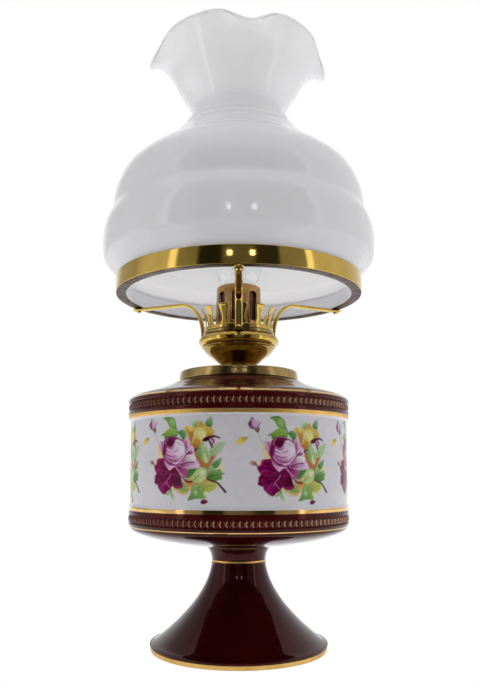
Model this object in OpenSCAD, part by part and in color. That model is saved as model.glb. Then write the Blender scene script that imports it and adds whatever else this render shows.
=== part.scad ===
// Table lamp in the form of an old oil lamp: glazed ceramic foot and font,
// brass burner and shade carrier, electric lampholder and opal glass shade.
// Millimetres, +Z up, origin at the centre of the foot on the table.

/* [Ceramic foot and font] */
// Radius of the foot at its lip
foot_r = 83; // [76:1:86]
// Height of the gilt band round the foot
foot_band_h = 4.6; // [3:0.1:6]
// Radius of the decorated drum
drum_r = 103.2; // [100:0.1:105]
// How far the two relief rims stand out from the drum
rim_out = 2.2; // [1.2:0.1:3]
// Wall of the ceramic
ceramic_wall = 6; // [5:0.5:7]

/* [Burner] */
// Radius of the brass collar over the font
collar_r = 57.4; // [54:0.2:59]
// Outer radius of the bead ring
bead_r = 39; // [38.4:0.1:40]
// Number of prongs on the crown
prongs = 12; // [8:1:16]
// Width of a prong's waist
prong_w = 5.6; // [4:0.1:7]
// Width of a prong's flared head
prong_head_w = 9.6; // [7:0.1:10.4]

/* [Shade carrier] */
// Outer radius of the shade ring
ring_r = 119.6; // [118.5:0.1:120.5]
// Height of the shade ring
ring_h = 16.8; // [12:0.2:20]
// How far the left rear arm is bent away from even spacing, in degrees
arm_bend = 6; // [0:1:8]
// Width of a carrier arm
arm_w = 7.2; // [5:0.2:8]
// Thickness of a carrier arm
arm_t = 3.4; // [3:0.1:3.6]

/* [Lampholder and bulb] */
// Number of slots in the lampholder sleeve
slots = 8; // [6:1:10]
// Width of one slot
slot_w = 9.5; // [6:0.5:11]
// Radius of the bulb's globe
bulb_r = 22.5; // [20:0.5:22.5]

/* [Glass shade] */
// Radius of the shade at its belly
shade_r = 132.6; // [130:0.2:136]
// Wall of the shade
shade_wall = 3; // [2.5:0.1:4]
// Number of drooping lips round the mouth
lips = 4; // [3:1:6]
// Angular half width of a drooping lip in degrees
lip_half = 12; // [9:1:16]
// How far a lip droops below the crest of the mouth
lip_drop = 21; // [10:1:24]

/* [Hidden] */
$fn = 96;
e = 0.01;

rod_r = 5;            // M10 tube
rod_bore = 3.5;
ped_top = 94;         // top of the pedestal
font_z = 95;          // underside of the font
font_top = 250.4;     // seat of the collar
bowl_z = 262.2;       // foot of the burner bowl
deck_z = 291;         // top of the burner deck
ring_z = 334.8;       // underside of the shade ring
seat_z = ring_z + 1.6;

// ---- smooth curves through hand-placed points -------------------------
function cr(a, b, c, d, t) =
  0.5 * ((2 * b) + (c - a) * t + (2 * a - 5 * b + 4 * c - d) * t * t
  + (3 * b - a - 3 * c + d) * t * t * t);
function at(p, i) = p[max(0, min(len(p) - 1, i))];
function spline(p, n) = concat(
  [for (i = [0:len(p) - 2], k = [0:n - 1])
    cr(at(p, i - 1), p[i], p[i + 1], at(p, i + 2), k / n)],
  [p[len(p) - 1]]);
function along(p, t) =
  let (s = t * (len(p) - 1), i = min(len(p) - 2, floor(s)))
  cr(at(p, i - 1), p[i], p[i + 1], at(p, i + 2), s - i);
function rev(p) = [for (i = [len(p) - 1:-1:0]) p[i]];
function unit(v) = v / norm(v);
function tangent(p, i) = unit(at(p, i + 1) - at(p, i - 1));
function side(p, d) = [for (i = [0:len(p) - 1])
  let (t = tangent(p, i)) p[i] + d * [t[1], -t[0]]];

// ---- ceramic ----------------------------------------------------------
k_f = foot_r / 83;
ped_curve = spline([[83 * k_f, 5.2], [81.4 * k_f, 6.6], [77 * k_f, 9.2], [68 * k_f, 16.4],
  [59.5 * k_f, 24], [50.6 * k_f, 33], [42 * k_f, 43], [34.6, 54], [29.6, 64],
  [26.7, 73], [25.5, 81], [26.1, 85], [28.6, 89], [33.4, 93.2]], 5);

module pedestal() color([0.20, 0.03, 0.06]) difference() {
  rotate_extrude() polygon(concat(
    [[78, 0], [foot_r - 0.6, 0], [foot_r - 0.6, foot_band_h]],
    ped_curve,
    [[33, ped_top], [rod_r + 0.6, ped_top], [rod_r + 0.6, 78], [19, 78], [19, 74]],
    spline([[19.5, 70], [24, 59], [31, 47], [40, 36.5], [51, 26], [61, 17.5],
      [69, 11], [73.5, 7]], 4),
    [[74, 4], [78, 4]]));
  translate([0, 40, 14]) rotate([-90, 0, 0]) cylinder(r = 4.6, h = 60);
}

module base_plate() color([0.55, 0.55, 0.57])
  translate([0, 0, 2.6]) cylinder(r = 77.8, h = 1.4);

module felt_pad() color([0.12, 0.20, 0.14]) cylinder(r = 77.8, h = 2.6);

module cord_bush() color([0.10, 0.09, 0.08])
  translate([0, 60, 14]) rotate([-90, 0, 0]) difference() {
    union() {
      cylinder(r = 4.5, h = 15.4);
      translate([0, 0, 15.4]) cylinder(r1 = 4.5, r2 = 4, h = 0.6);
    }
    translate([0, 0, -1]) cylinder(r = 3.2, h = 18);
  }

module neck_gasket() color([0.35, 0.24, 0.14]) difference() {
  translate([0, 0, ped_top]) cylinder(r = 32, h = font_z - ped_top);
  translate([0, 0, ped_top - 1]) cylinder(r = 12, h = 3);
}

k_o = drum_r + rim_out;
module font() color([0.86, 0.84, 0.87]) rotate_extrude() polygon(concat(
  [[rod_r + 0.6, font_z], [34, font_z]],
  spline([[35, font_z + 0.1], [45.2, 96.2], [62.6, 99.1], [78.2, 102.2], [89.2, 105.3],
    [97.2, 108.4], [101.6, 111.2], [103.6, 114.4], [k_o - 1.2, 117.4]], 4),
  spline([[k_o - 1, 118.6], [k_o - 0.3, 119.6], [k_o - 0.1, 121], [k_o - 0.3, 122.4], [k_o - 1, 123.4]], 3),
  spline([[k_o - 1.1, 125], [k_o - 0.9, 127.4], [k_o - 1, 130], [k_o - 1.1, 132.6], [drum_r + 0.3, 134.4],
    [drum_r, 136.4]], 3),
  spline([[drum_r, 210], [drum_r + 0.4, 211.8], [k_o - 0.4, 213.4], [k_o, 216.6], [k_o - 0.1, 219.4]], 3),
  spline([[k_o - 0.2, 220.8], [k_o + 0.2, 222], [k_o + 0.3, 224], [k_o + 0.2, 226], [k_o - 0.2, 227.2]], 3),
  spline([[k_o, 229], [k_o, 231.4], [k_o - 1.2, 234.2], [100.6, 236.9], [87.4, 240],
    [75.2, 243], [67.4, 246], [62.2, 248.8], [59, font_top]], 4),
  [[30, font_top], [30, font_top - 5.4]],
  spline([[50, 243.4], [70, 238.4], [90, 232], [k_o - ceramic_wall - 0.6, 226],
    [k_o - ceramic_wall - 2, 214]], 4),
  spline([[drum_r - ceramic_wall, 205], [drum_r - ceramic_wall, 140],
    [drum_r - ceramic_wall, 120], [92, 112.4], [72, 107.6], [40, 102.6]], 4),
  [[rod_r + 0.6, 101]]));

// ---- centre fixings ---------------------------------------------------
module tube(r, bore, z0, z1) difference() {
  translate([0, 0, z0]) cylinder(r = r, h = z1 - z0);
  translate([0, 0, z0 - 1]) cylinder(r = bore, h = z1 - z0 + 2);
}
module hex_nut(flat, z0, h) difference() {
  translate([0, 0, z0]) cylinder(r = flat / 2 / cos(30), h = h, $fn = 6);
  translate([0, 0, z0 - 1]) cylinder(r = rod_r + 0.05, h = h + 2);
}
module threaded_rod() color([0.70, 0.66, 0.55]) tube(rod_r, rod_bore, 62, 300);
module bottom_washer() color([0.66, 0.66, 0.68]) tube(17, rod_r + 0.3, 75.6, 78);
module bottom_nut() color([0.70, 0.70, 0.72]) hex_nut(17, 69, 6.6);

module collar_gasket() color([0.30, 0.22, 0.15]) tube(56, 40, font_top, font_top + 0.6);

module collar() color([0.66, 0.50, 0.20]) rotate_extrude() polygon(concat(
  [[collar_r + 0.1, font_top + 0.6]],
  spline([[collar_r, 252.6], [collar_r - 0.3, 256], [collar_r - 0.8, 258.8],
    [collar_r - 1.8, 260], [collar_r - 4, 260.5]], 4),
  [[40, 261.3], [22, bowl_z], [rod_r + 0.1, bowl_z], [rod_r + 0.1, bowl_z - 1.4],
   [22, bowl_z - 1.4], [40, 259.9], [collar_r - 4, 259.1]],
  [[collar_r - 2, 257.4], [collar_r - 1.4, 253], [collar_r - 1.4, font_top + 0.6]]));

bowl_curve = spline([[18, bowl_z + 1.2], [17.3, 265.2], [18.2, 268], [21, 270.4], [24.4, 273.4],
  [28.2, 276.2], [31.3, 279], [33.6, 281.8], [34.4, 283.4]], 4);
module burner_bowl() color([0.66, 0.50, 0.20]) rotate_extrude() polygon(concat(
  [[rod_r + 0.1, bowl_z], [18.8, bowl_z]], bowl_curve,
  [[35.6, 284], [35.6, 285.4], [32.6, 285.4], [32.6, 283.8]],
  rev(side(bowl_curve, -1.5)),
  [[16.2, bowl_z + 1.6], [rod_r + 0.1, bowl_z + 1.6]]));
module bowl_nut() color([0.70, 0.66, 0.55]) hex_nut(17, bowl_z + 1.6, 5);

bead_s = 4.9;
module bead_ring() color([0.70, 0.53, 0.22]) difference() {
  union() {
    rotate_extrude() translate([bead_r - bead_s, 290.4]) circle(r = bead_s);
    tube(bead_r - bead_s, rod_r + 0.1, deck_z - 2, deck_z);
  }
  translate([0, 0, deck_z]) cylinder(r = 32.9, h = 10);
  translate([0, 0, 280]) cylinder(r = 35.7, h = 5.45);
}
module deck_nut() color([0.70, 0.66, 0.55]) hex_nut(17, deck_z, 4.9);

// ---- crown ------------------------------------------------------------
// A low wall with a band, from which the prongs rise and curl outwards.
crown_h = 322 - 303;
prong_edge = spline([[prong_w / 2 + 2.2, -1], [prong_w / 2 + 1.2, 1], [prong_w / 2 + 0.2, 3.6],
  [prong_w / 2, 6.4], [prong_w / 2 + 0.7, 10], [prong_head_w / 2 - 0.5, 14],
  [prong_head_w / 2, 17], [prong_head_w / 2 - 0.5, crown_h + 1]], 2);
module prongs_outline() for (i = [0:prongs - 1]) rotate([0, 0, 275.5 + i * 360 / prongs])
  translate([26, 0, 303]) rotate([90, 0, 90]) linear_extrude(14)
    polygon(concat(prong_edge, [for (p = rev(prong_edge)) [-p[0], p[1]]]));
flare = spline([[32.4, 300], [32.4, 304], [32.6, 308], [33.2, 312], [34.1, 316], [35.3, 319.6],
  [36.3, 322]], 2);
module crown() color([0.68, 0.52, 0.20]) union() {
  tube(32.4, 30.6, deck_z, 303);
  rotate_extrude() polygon([[31, 299.4], [33.2, 299.4], [33.7, 299.9], [33.7, 302.9],
    [33.2, 303.4], [31, 303.4]]);
  intersection() {
    rotate_extrude() polygon(concat(flare, rev(side(flare, -1.3))));
    prongs_outline();
  }
}

// ---- lampholder -------------------------------------------------------
module lampholder_base() color([0.23, 0.12, 0.08]) difference() {
  translate([0, 0, deck_z + 4.9]) cylinder(r = 18.8, h = 6.1);
  translate([0, 0, deck_z]) cylinder(r = rod_r + 0.05, h = 9.05);
}
module lampholder_body() color([0.28, 0.14, 0.09]) difference() {
  translate([0, 0, 302]) cylinder(r = 18.8, h = 38);
  translate([0, 0, 310]) cylinder(r = 14.5, h = 40);
  for (s = [-1, 1]) translate([0, 0, 305.5]) rotate([0, s * 90, 0])
    translate([0, 0, 8]) cylinder(r = 1.6, h = 20);
}
module screw_shell() color([0.72, 0.58, 0.28]) tube(14.45, 13.7, 315, 337);
module centre_contact() color([0.72, 0.58, 0.28]) union() {
  translate([-7, -3, 310]) cube([14, 6, 0.7]);
  translate([0, 0, 310]) cylinder(r = 2.6, h = 1.2);
}
module terminal_screws() color([0.72, 0.60, 0.34]) for (s = [-1, 1])
  translate([0, 0, 305.5]) rotate([0, s * 90, 0])
    translate([0, 0, 8.2]) cylinder(r = 1.55, h = 10);

module lampholder_sleeve() color([0.62, 0.46, 0.20]) difference() {
  rotate_extrude() polygon([[22.8, 295.9], [22.6, 310], [22.2, 325], [21.6, 338], [21.2, 342],
    [20.5, 344], [19.4, 345], [18.7, 345], [18.7, 344], [19.5, 343], [20.1, 341.6],
    [20.5, 338], [21.1, 325], [21.5, 310], [21.7, 295.9]]);
  for (i = [0:slots - 1]) rotate([0, 0, 265 + i * 360 / slots]) {
    translate([15, -slot_w / 2, 309]) cube([12, slot_w, 24]);
    translate([15, 0, 333]) rotate([0, 90, 0]) cylinder(r = slot_w / 2, h = 12);
  }
}

// ---- shade carrier ----------------------------------------------------
arm_path = spline([[38.8, 296.6], [38.8, 299.2], [38.8, 302], [39.6, 308], [41.9, 316.4], [46, 323.8], [52, 329.4],
  [58.6, 332.3], [66, 333.1], [80, 333.1], [100, 333.1], [120.4, 333.1]], 3);
rivet_r = 114.6;
arms = 3;
arm_at = [270, 27, 150 + arm_bend];  // the arms are bent by hand
function arm_a(i) = arm_at[i];

module carrier_hub() color([0.66, 0.50, 0.20]) union() {
  tube(34.6, 32.9, 296.2, 298.8);
  for (i = [0:arms - 1]) rotate([0, 0, arm_a(i)])
    translate([33.8, -arm_w / 2, 296.6]) cube([38.8 - arm_t / 2 - 33.8, arm_w, 2.2]);
}
module carrier_arms() color([0.70, 0.53, 0.22]) for (i = [0:arms - 1])
  rotate([0, 0, arm_a(i)]) difference() {
    union() {
      rotate([90, 0, 0]) translate([0, 0, -arm_w / 2]) linear_extrude(arm_w)
        polygon(concat(side(arm_path, arm_t / 2), rev(side(arm_path, -arm_t / 2))));
      translate([rivet_r, 0, ring_z - arm_t]) cylinder(r = 4.6, h = arm_t);
    }
    translate([rivet_r, 0, ring_z - 10]) cylinder(r = 1.65, h = 20);
  }
module arm_rivets() color([0.74, 0.58, 0.26]) for (i = [0:arms - 1])
  rotate([0, 0, arm_a(i)]) translate([rivet_r, 0, ring_z - arm_t]) {
    cylinder(r = 1.6, h = arm_t + 1.2);
    translate([0, 0, -1.4]) cylinder(r1 = 1.8, r2 = 2.8, h = 1.4);
  }
module shade_ring() color([0.68, 0.52, 0.20]) difference() {
  rotate_extrude() polygon([[110, ring_z], [ring_r - 0.8, ring_z], [ring_r, ring_z + 0.9],
    [ring_r, ring_z + ring_h - 0.7], [ring_r - 0.7, ring_z + ring_h], [ring_r - 1.6, ring_z + ring_h],
    [ring_r - 1.8, ring_z + ring_h - 0.8], [ring_r - 1.8, ring_z + 1.2], [110, ring_z + 1.2]]);
  for (i = [0:arms - 1]) rotate([0, 0, arm_a(i)])
    translate([rivet_r, 0, ring_z - 10]) cylinder(r = 1.65, h = 20);
}

// ---- glass shade ------------------------------------------------------
k_s = shade_r / 132.6;
shade_curve = spline([[116.2, seat_z], [116.4, 344], [116.6, 350.6], [118.4, 353.2], [121.2, 356.8],
  [126, 362.2], [131.4 * k_s, 369], [132.6 * k_s, 378], [132.3 * k_s, 390], [130.2 * k_s, 401],
  [127, 408.4], [124.2, 414.6], [123.4, 420], [122.6, 428], [120.2, 437.8], [114.8, 450],
  [107.6, 459], [96.4, 468.2], [85, 476], [73, 486.2], [61.4, 498], [53, 510], [47.6, 520]], 1);
up_curve = [[46.6, 525], [52.6, 537], [60.2, 549], [66.4, 563], [73.2, 575.4], [80.6, 588]];
out_curve = [[46.6, 525], [52.6, 537], [61.4, 549], [69.6, 560.6], [79.4, 568.4],
  [88.6, 588 - lip_drop]];
function gap(a) = let (s = 360 / lips, d = (a - 277) - s * round((a - 277) / s)) d;
function droop(a, t) = exp(-pow(gap(a) / (lip_half * (1.9 - 0.9 * t)), 2)) * pow(t, 1.4);
function mouth(a, t) = let (w = droop(a, t)) along(up_curve, t) * (1 - w) + along(out_curve, t) * w;
mouth_n = 9;
function meridian(a) = concat(shade_curve, [for (k = [0:mouth_n]) mouth(a, k / mouth_n)]);
around = 72;
outer = [for (j = [0:around - 1]) meridian(j * 360 / around)];
inner = [for (j = [0:around - 1]) rev(side(outer[j], -shade_wall))];
shell = [for (j = [0:around - 1]) concat(outer[j], inner[j])];
rows = len(shell[0]);
shell_points = [for (j = [0:around - 1]) let (a = j * 360 / around) for (p = shell[j])
  [p[0] * cos(a), p[0] * sin(a), max(seat_z, p[1])]];
shell_faces = [for (j = [0:around - 1], i = [0:rows - 1])
  let (a = j * rows + i, b = j * rows + (i + 1) % rows,
       c = ((j + 1) % around) * rows + (i + 1) % rows, d = ((j + 1) % around) * rows + i)
  each [[a, b, c], [a, c, d]]];
module shade_glass() color([0.93, 0.93, 0.95]) polyhedron(shell_points, shell_faces, convexity = 8);

// ---- bulb -------------------------------------------------------------
bulb_z = 363.8;
glass_curve = concat(
  [[13.2, 338], [13.2, 342], [13.5, 344.4], [14.5, 346.4]],
  [for (a = [-45:5:85]) [bulb_r * cos(a), bulb_z + bulb_r * sin(a)]]);
module bulb_glass() color([0.9, 0.93, 0.95, 0.35]) rotate_extrude() polygon(concat(
  glass_curve, [[0, bulb_z + bulb_r], [0, bulb_z + bulb_r - 0.7]],
  rev(concat([[12.5, 338], [12.5, 342.1], [12.8, 344.7], [13.9, 346.9]],
    [for (a = [-45:5:85]) [(bulb_r - 0.7) * cos(a), bulb_z + (bulb_r - 0.7) * sin(a)]]))));
module bulb_cap() color([0.75, 0.70, 0.58]) difference() {
  union() {
    translate([0, 0, 316]) cylinder(r = 12.7, h = 22);
    for (k = [0:4]) rotate_extrude() translate([12.5, 319 + k * 3.6]) circle(r = 0.85, $fn = 24);
    translate([0, 0, 336.6]) cylinder(r = 13.2, h = 1.4);
  }
  translate([0, 0, 315]) cylinder(r = 11.9, h = 30);
}
module bulb_insulator() color([0.08, 0.08, 0.09]) translate([0, 0, 313]) union() {
  cylinder(r1 = 5.4, r2 = 11.6, h = 3);
  translate([0, 0, 3]) cylinder(r = 11.9, h = 1.6);
}
module bulb_contact() color([0.72, 0.72, 0.74]) translate([0, 0, 311.8]) cylinder(r1 = 3.6, r2 = 4.8, h = 1.2);
module bulb_stem() color([0.88, 0.92, 0.93, 0.5]) rotate_extrude() polygon(concat(
  spline([[0, 338.6], [12, 338.6], [10.2, 341], [7.8, 344.4], [6.9, 349], [6.6, 356], [6, 362], [4.2, 365.6],
    [2, 367.2]], 4),
  [[0, 367.4]]));
module wire(a, b, r) let (d = b - a, n = norm(d))
  translate(a) rotate([0, acos(d[2] / n), atan2(d[1], d[0])]) cylinder(r = r, h = n, $fn = 16);
module bulb_leads() color([0.66, 0.64, 0.62]) for (s = [-1, 1])
  wire([s * 3, 0, 367.4], [s * 9.5, 0, 371.2], 0.3);
module bulb_filament() color([0.35, 0.34, 0.33]) rotate([90, 0, 0]) translate([0, 371.5, 0])
  rotate_extrude(angle = 180) translate([9.5, 0]) circle(r = 0.35, $fn = 16);

pedestal();
base_plate();
felt_pad();
cord_bush();
neck_gasket();
threaded_rod();
bottom_washer();
bottom_nut();
font();
collar_gasket();
collar();
burner_bowl();
bowl_nut();
bead_ring();
deck_nut();
crown();
lampholder_base();
lampholder_body();
screw_shell();
centre_contact();
terminal_screws();
lampholder_sleeve();
carrier_hub();
carrier_arms();
arm_rivets();
shade_ring();
shade_glass();
bulb_glass();
bulb_cap();
bulb_insulator();
bulb_contact();
bulb_stem();
bulb_leads();
bulb_filament();
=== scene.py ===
import math

import bpy
import numpy as np
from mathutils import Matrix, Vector

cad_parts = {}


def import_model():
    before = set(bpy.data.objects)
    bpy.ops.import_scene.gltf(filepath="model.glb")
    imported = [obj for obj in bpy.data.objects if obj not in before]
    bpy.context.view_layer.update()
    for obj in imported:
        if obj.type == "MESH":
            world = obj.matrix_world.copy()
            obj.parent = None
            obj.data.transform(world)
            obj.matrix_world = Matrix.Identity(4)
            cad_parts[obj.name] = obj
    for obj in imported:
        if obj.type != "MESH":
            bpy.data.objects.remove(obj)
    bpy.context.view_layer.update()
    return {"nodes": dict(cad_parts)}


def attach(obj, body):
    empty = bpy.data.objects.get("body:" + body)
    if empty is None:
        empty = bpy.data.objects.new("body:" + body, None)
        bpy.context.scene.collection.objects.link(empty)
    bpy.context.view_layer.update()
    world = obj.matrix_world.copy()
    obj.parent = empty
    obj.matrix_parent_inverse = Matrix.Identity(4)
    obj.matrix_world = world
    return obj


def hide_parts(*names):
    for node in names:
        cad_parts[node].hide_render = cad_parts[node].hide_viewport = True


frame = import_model()

MM = 0.001
SC = bpy.context.scene
COL = SC.collection


# ---------------------------------------------------------------- camera
def make_camera():
    cam = bpy.data.cameras.new("camera")
    ob = bpy.data.objects.new("camera", cam)
    COL.objects.link(ob)
    ob.location = (0.0, -0.705, 0.1637)
    ob.rotation_euler = (math.radians(96.0), 0.0, 0.0)
    cam.sensor_width = 36.0
    cam.lens = 38.185
    cam.shift_x = 0.0019
    cam.shift_y = 0.0759
    cam.clip_start = 0.01
    cam.clip_end = 50.0
    SC.camera = ob


make_camera()


# ---------------------------------------------------------------- curves
def spline(pts, n):
    p = np.array(pts, float)
    out = []
    m = len(p)
    for i in range(m - 1):
        a, b, c, d = p[max(i - 1, 0)], p[i], p[i + 1], p[min(i + 2, m - 1)]
        for k in range(n):
            t = k / n
            out.append(
                0.5
                * (
                    2 * b
                    + (c - a) * t
                    + (2 * a - 5 * b + 4 * c - d) * t * t
                    + (3 * b - a - 3 * c + d) * t**3
                )
            )
    out.append(p[-1])
    return np.array(out)


def arc(cx, cz, r, a0, a1, n):
    a = np.radians(np.linspace(a0, a1, n))
    return np.stack([cx + r * np.cos(a), cz + r * np.sin(a)], 1)


def join(*parts):
    out = []
    for p in parts:
        for q in np.atleast_2d(np.array(p, float)):
            if not out or np.linalg.norm(out[-1] - q) > 1e-4:
                out.append(q)
    return np.array(out)


def smooth01(x):
    x = np.clip(x, 0, 1)
    return x * x * (3 - 2 * x)


def noise1(a, seed, waves=9, top=24):
    """A smooth periodic wobble round the axis, between -1 and 1."""
    r = np.random.RandomState(seed)
    s = np.zeros_like(a)
    for _ in range(waves):
        s += r.uniform(0.3, 1) * np.sin(r.randint(2, top) * a + r.uniform(0, 6.283))
    return s / (waves * 0.5)


# ---------------------------------------------------------------- meshes
def new_object(name, verts, faces, smooth=True, mats=(), face_mats=None, colors=None):
    me = bpy.data.meshes.new(name)
    me.from_pydata(np.asarray(verts, float).tolist(), [], faces)
    me.validate()
    for m in mats:
        me.materials.append(m)
    if face_mats is not None:
        me.polygons.foreach_set("material_index", np.asarray(face_mats, np.int32))
    me.polygons.foreach_set("use_smooth", np.full(len(me.polygons), smooth))
    for key, c in (colors or {}).items():
        at = me.color_attributes.new(key, "FLOAT_COLOR", "POINT")
        rgba = np.ones((len(me.vertices), 4), np.float32)
        rgba[:, :3] = c
        at.data.foreach_set("color", rgba.ravel())
    me.update()
    ob = bpy.data.objects.new(name, me)
    COL.objects.link(ob)
    return ob


def grid_faces(rows, cols, wrap_cols=True, wrap_rows=False, flip=False):
    faces = []
    rr = rows if wrap_rows else rows - 1
    cc = cols if wrap_cols else cols - 1
    for i in range(rr):
        i2 = (i + 1) % rows
        for j in range(cc):
            j2 = (j + 1) % cols
            f = (i * cols + j, i * cols + j2, i2 * cols + j2, i2 * cols + j)
            faces.append(f[::-1] if flip else f)
    return faces


def lathe(name, prof, seg, mats, closed=False, row_mat=None, wobble=None, flip=False):
    """Surface of revolution. prof rows are (r, z) in mm. closed joins the last row to the first.
    row_mat gives each strip's material, and wobble each row's z wobble in mm."""
    prof = np.array(prof, float)
    a = np.linspace(0, 2 * np.pi, seg, endpoint=False)
    n = len(prof)
    pole0 = prof[0, 0] < 1e-6 and not closed
    pole1 = prof[-1, 0] < 1e-6 and not closed
    rings = prof[(1 if pole0 else 0) : (n - 1 if pole1 else n)]
    m = len(rings)
    r = rings[:, 0][:, None] * np.ones_like(a)[None]
    z = rings[:, 1][:, None] * np.ones_like(a)[None]
    if wobble is not None:
        z = z + wobble(rings, a)
    v = np.stack([r * np.cos(a), r * np.sin(a), z], -1).reshape(-1, 3)
    faces = grid_faces(m, seg, True, closed, flip)
    fm = None
    if row_mat is not None:
        fm = []
        rr = m if closed else m - 1
        for i in range(rr):
            k = row_mat(rings[i], rings[(i + 1) % m])
            fm += [k] * seg
    v = v.tolist()
    if pole0:
        v.append([0, 0, prof[0, 1]])
        k = len(v) - 1
        for j in range(seg):
            f = (k, (j + 1) % seg, j)
            faces.append(f[::-1] if flip else f)
            if fm is not None:
                fm.append(fm[0] if fm else 0)
    if pole1:
        v.append([0, 0, prof[-1, 1]])
        k = len(v) - 1
        o = (m - 1) * seg
        for j in range(seg):
            f = (o + j, o + (j + 1) % seg, k)
            faces.append(f[::-1] if flip else f)
            if fm is not None:
                fm.append(fm[-1] if fm else 0)
    return new_object(name, np.array(v) * MM, faces, True, mats, fm)


def fix_normals(ob):
    import bmesh

    bm = bmesh.new()
    bm.from_mesh(ob.data)
    bmesh.ops.recalc_face_normals(bm, faces=bm.faces)
    bm.to_mesh(ob.data)
    bm.free()
    return ob


def put(ob, body, slot, *nodes):
    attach(ob, body)
    if nodes:
        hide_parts(*nodes)
    return ob


# ---------------------------------------------------------------- materials
def material(name):
    m = bpy.data.materials.new(name)
    m.use_nodes = True
    nt = m.node_tree
    b = nt.nodes["Principled BSDF"]
    return m, nt, b


def node(nt, kind, **kw):
    n = nt.nodes.new(kind)
    for k, v in kw.items():
        if k == "inputs":
            for i, val in v.items():
                n.inputs[i].default_value = val
        else:
            setattr(n, k, v)
    return n


def tex_noise(nt, scale, detail=4.0, rough=0.55, coord=None, stretch=None):
    tc = node(nt, "ShaderNodeTexCoord")
    src = tc.outputs["Object"]
    if stretch is not None:
        mp = node(nt, "ShaderNodeMapping")
        mp.inputs["Scale"].default_value = stretch
        nt.links.new(src, mp.inputs["Vector"])
        src = mp.outputs["Vector"]
    n = node(nt, "ShaderNodeTexNoise")
    n.inputs["Scale"].default_value = scale
    n.inputs["Detail"].default_value = detail
    n.inputs["Roughness"].default_value = rough
    nt.links.new(src, n.inputs["Vector"])
    return n


def ramp(nt, fac, stops, interp="LINEAR"):
    r = node(nt, "ShaderNodeValToRGB")
    r.color_ramp.interpolation = interp
    el = r.color_ramp.elements
    while len(el) < len(stops):
        el.new(0.5)
    for e, (p, c) in zip(el, stops):
        e.position = p
        e.color = (c[0], c[1], c[2], 1.0) if hasattr(c, "__len__") else (c, c, c, 1.0)
    nt.links.new(fac, r.inputs["Fac"])
    return r.outputs["Color"]


def mapr(nt, fac, a, b, c, d):
    m = node(nt, "ShaderNodeMapRange")
    m.inputs["From Min"].default_value = a
    m.inputs["From Max"].default_value = b
    m.inputs["To Min"].default_value = c
    m.inputs["To Max"].default_value = d
    nt.links.new(fac, m.inputs["Value"])
    return m.outputs["Result"]


def bump(nt, fac, bsdf, strength, dist, also=None):
    b = node(nt, "ShaderNodeBump")
    b.inputs["Strength"].default_value = strength
    b.inputs["Distance"].default_value = dist
    nt.links.new(fac, b.inputs["Height"])
    nt.links.new(b.outputs["Normal"], bsdf.inputs["Normal"])
    return b


def glaze(name, c_lo, c_hi, rough=0.05, coat=0.6, attr=None, ior=1.5, tint=None):
    m, nt, b = material(name)
    n = tex_noise(nt, 26.0, 5.0)
    col = ramp(nt, n.outputs["Fac"], [(0.30, c_lo), (0.70, c_hi)])
    if attr:
        # where the attribute is set the glaze turns pale orange; on the beads this is partly thin glaze and partly a
        # painted highlight
        at = node(nt, "ShaderNodeVertexColor", layer_name=attr)
        mx = node(nt, "ShaderNodeMix", data_type="RGBA")
        nt.links.new(at.outputs["Color"], mx.inputs[0])
        nt.links.new(col, mx.inputs[6])
        mx.inputs[7].default_value = (0.98, 0.60, 0.38, 1)
        col = mx.outputs[2]
    nt.links.new(col, b.inputs["Base Color"])
    r2 = tex_noise(nt, 60.0, 3.0)
    nt.links.new(mapr(nt, r2.outputs["Fac"], 0.3, 0.7, rough * 0.75, rough * 1.5), b.inputs["Roughness"])
    b.inputs["IOR"].default_value = ior
    if tint:
        b.inputs["Specular Tint"].default_value = (*tint, 1)
    b.inputs["Coat Weight"].default_value = coat
    b.inputs["Coat Roughness"].default_value = 0.03
    n3 = tex_noise(nt, 90.0, 2.0, 0.4)
    bump(nt, n3.outputs["Fac"], b, 0.05, 0.0006)
    return m


def metal(name, c_lo, c_hi, r_lo, r_hi, scale=45.0, tarnish=None, t_at=(0.60, 0.78), bump_s=0.06, stretch=None):
    m, nt, b = material(name)
    n = tex_noise(nt, scale, 6.0, 0.6)
    col = ramp(nt, n.outputs["Fac"], [(0.32, c_lo), (0.68, c_hi)])
    rough = mapr(nt, n.outputs["Fac"], 0.3, 0.7, r_hi, r_lo)
    if tarnish:
        n2 = tex_noise(nt, scale * 2.7, 8.0, 0.7)
        mask = mapr(nt, n2.outputs["Fac"], t_at[0], t_at[1], 0.0, 1.0)
        mx = node(nt, "ShaderNodeMix", data_type="RGBA")
        nt.links.new(mask, mx.inputs[0])
        nt.links.new(col, mx.inputs[6])
        mx.inputs[7].default_value = (*tarnish, 1)
        col = mx.outputs[2]
    nt.links.new(col, b.inputs["Base Color"])
    nt.links.new(rough, b.inputs["Roughness"])
    b.inputs["Metallic"].default_value = 1.0
    n3 = tex_noise(nt, 160.0, 5.0, 0.6, stretch=stretch)
    bump(nt, n3.outputs["Fac"], b, bump_s, 0.0004)
    return m


M = {}
RED_TINT = (1.0, 0.44, 0.40)
M["burgundy"] = glaze("burgundy_glaze", (0.020, 0.0009, 0.0013), (0.032, 0.0014, 0.0020), coat=0.0, ior=1.42, tint=RED_TINT)
# a lighter copy of the same burgundy glaze, painted light, for the font's rims and top
M["burgundy_rim"] = glaze("burgundy_glaze_rim_painted_light", (0.042, 0.0022, 0.0024), (0.060, 0.0034, 0.0034), coat=0.0, ior=1.42, tint=RED_TINT)
# a still lighter copy of the burgundy glaze, painted light, for the bead bands
M["burgundy_bead"] = glaze("burgundy_glaze_beads_painted_light", (0.056, 0.0040, 0.0034), (0.078, 0.0066, 0.0050), coat=0.0, attr="thin_glaze_and_highlight",
                           rough=0.12, ior=1.42, tint=RED_TINT)
M["white"] = glaze("white_glaze", (0.68, 0.66, 0.73), (0.73, 0.71, 0.775), rough=0.10, coat=0.5)


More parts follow.
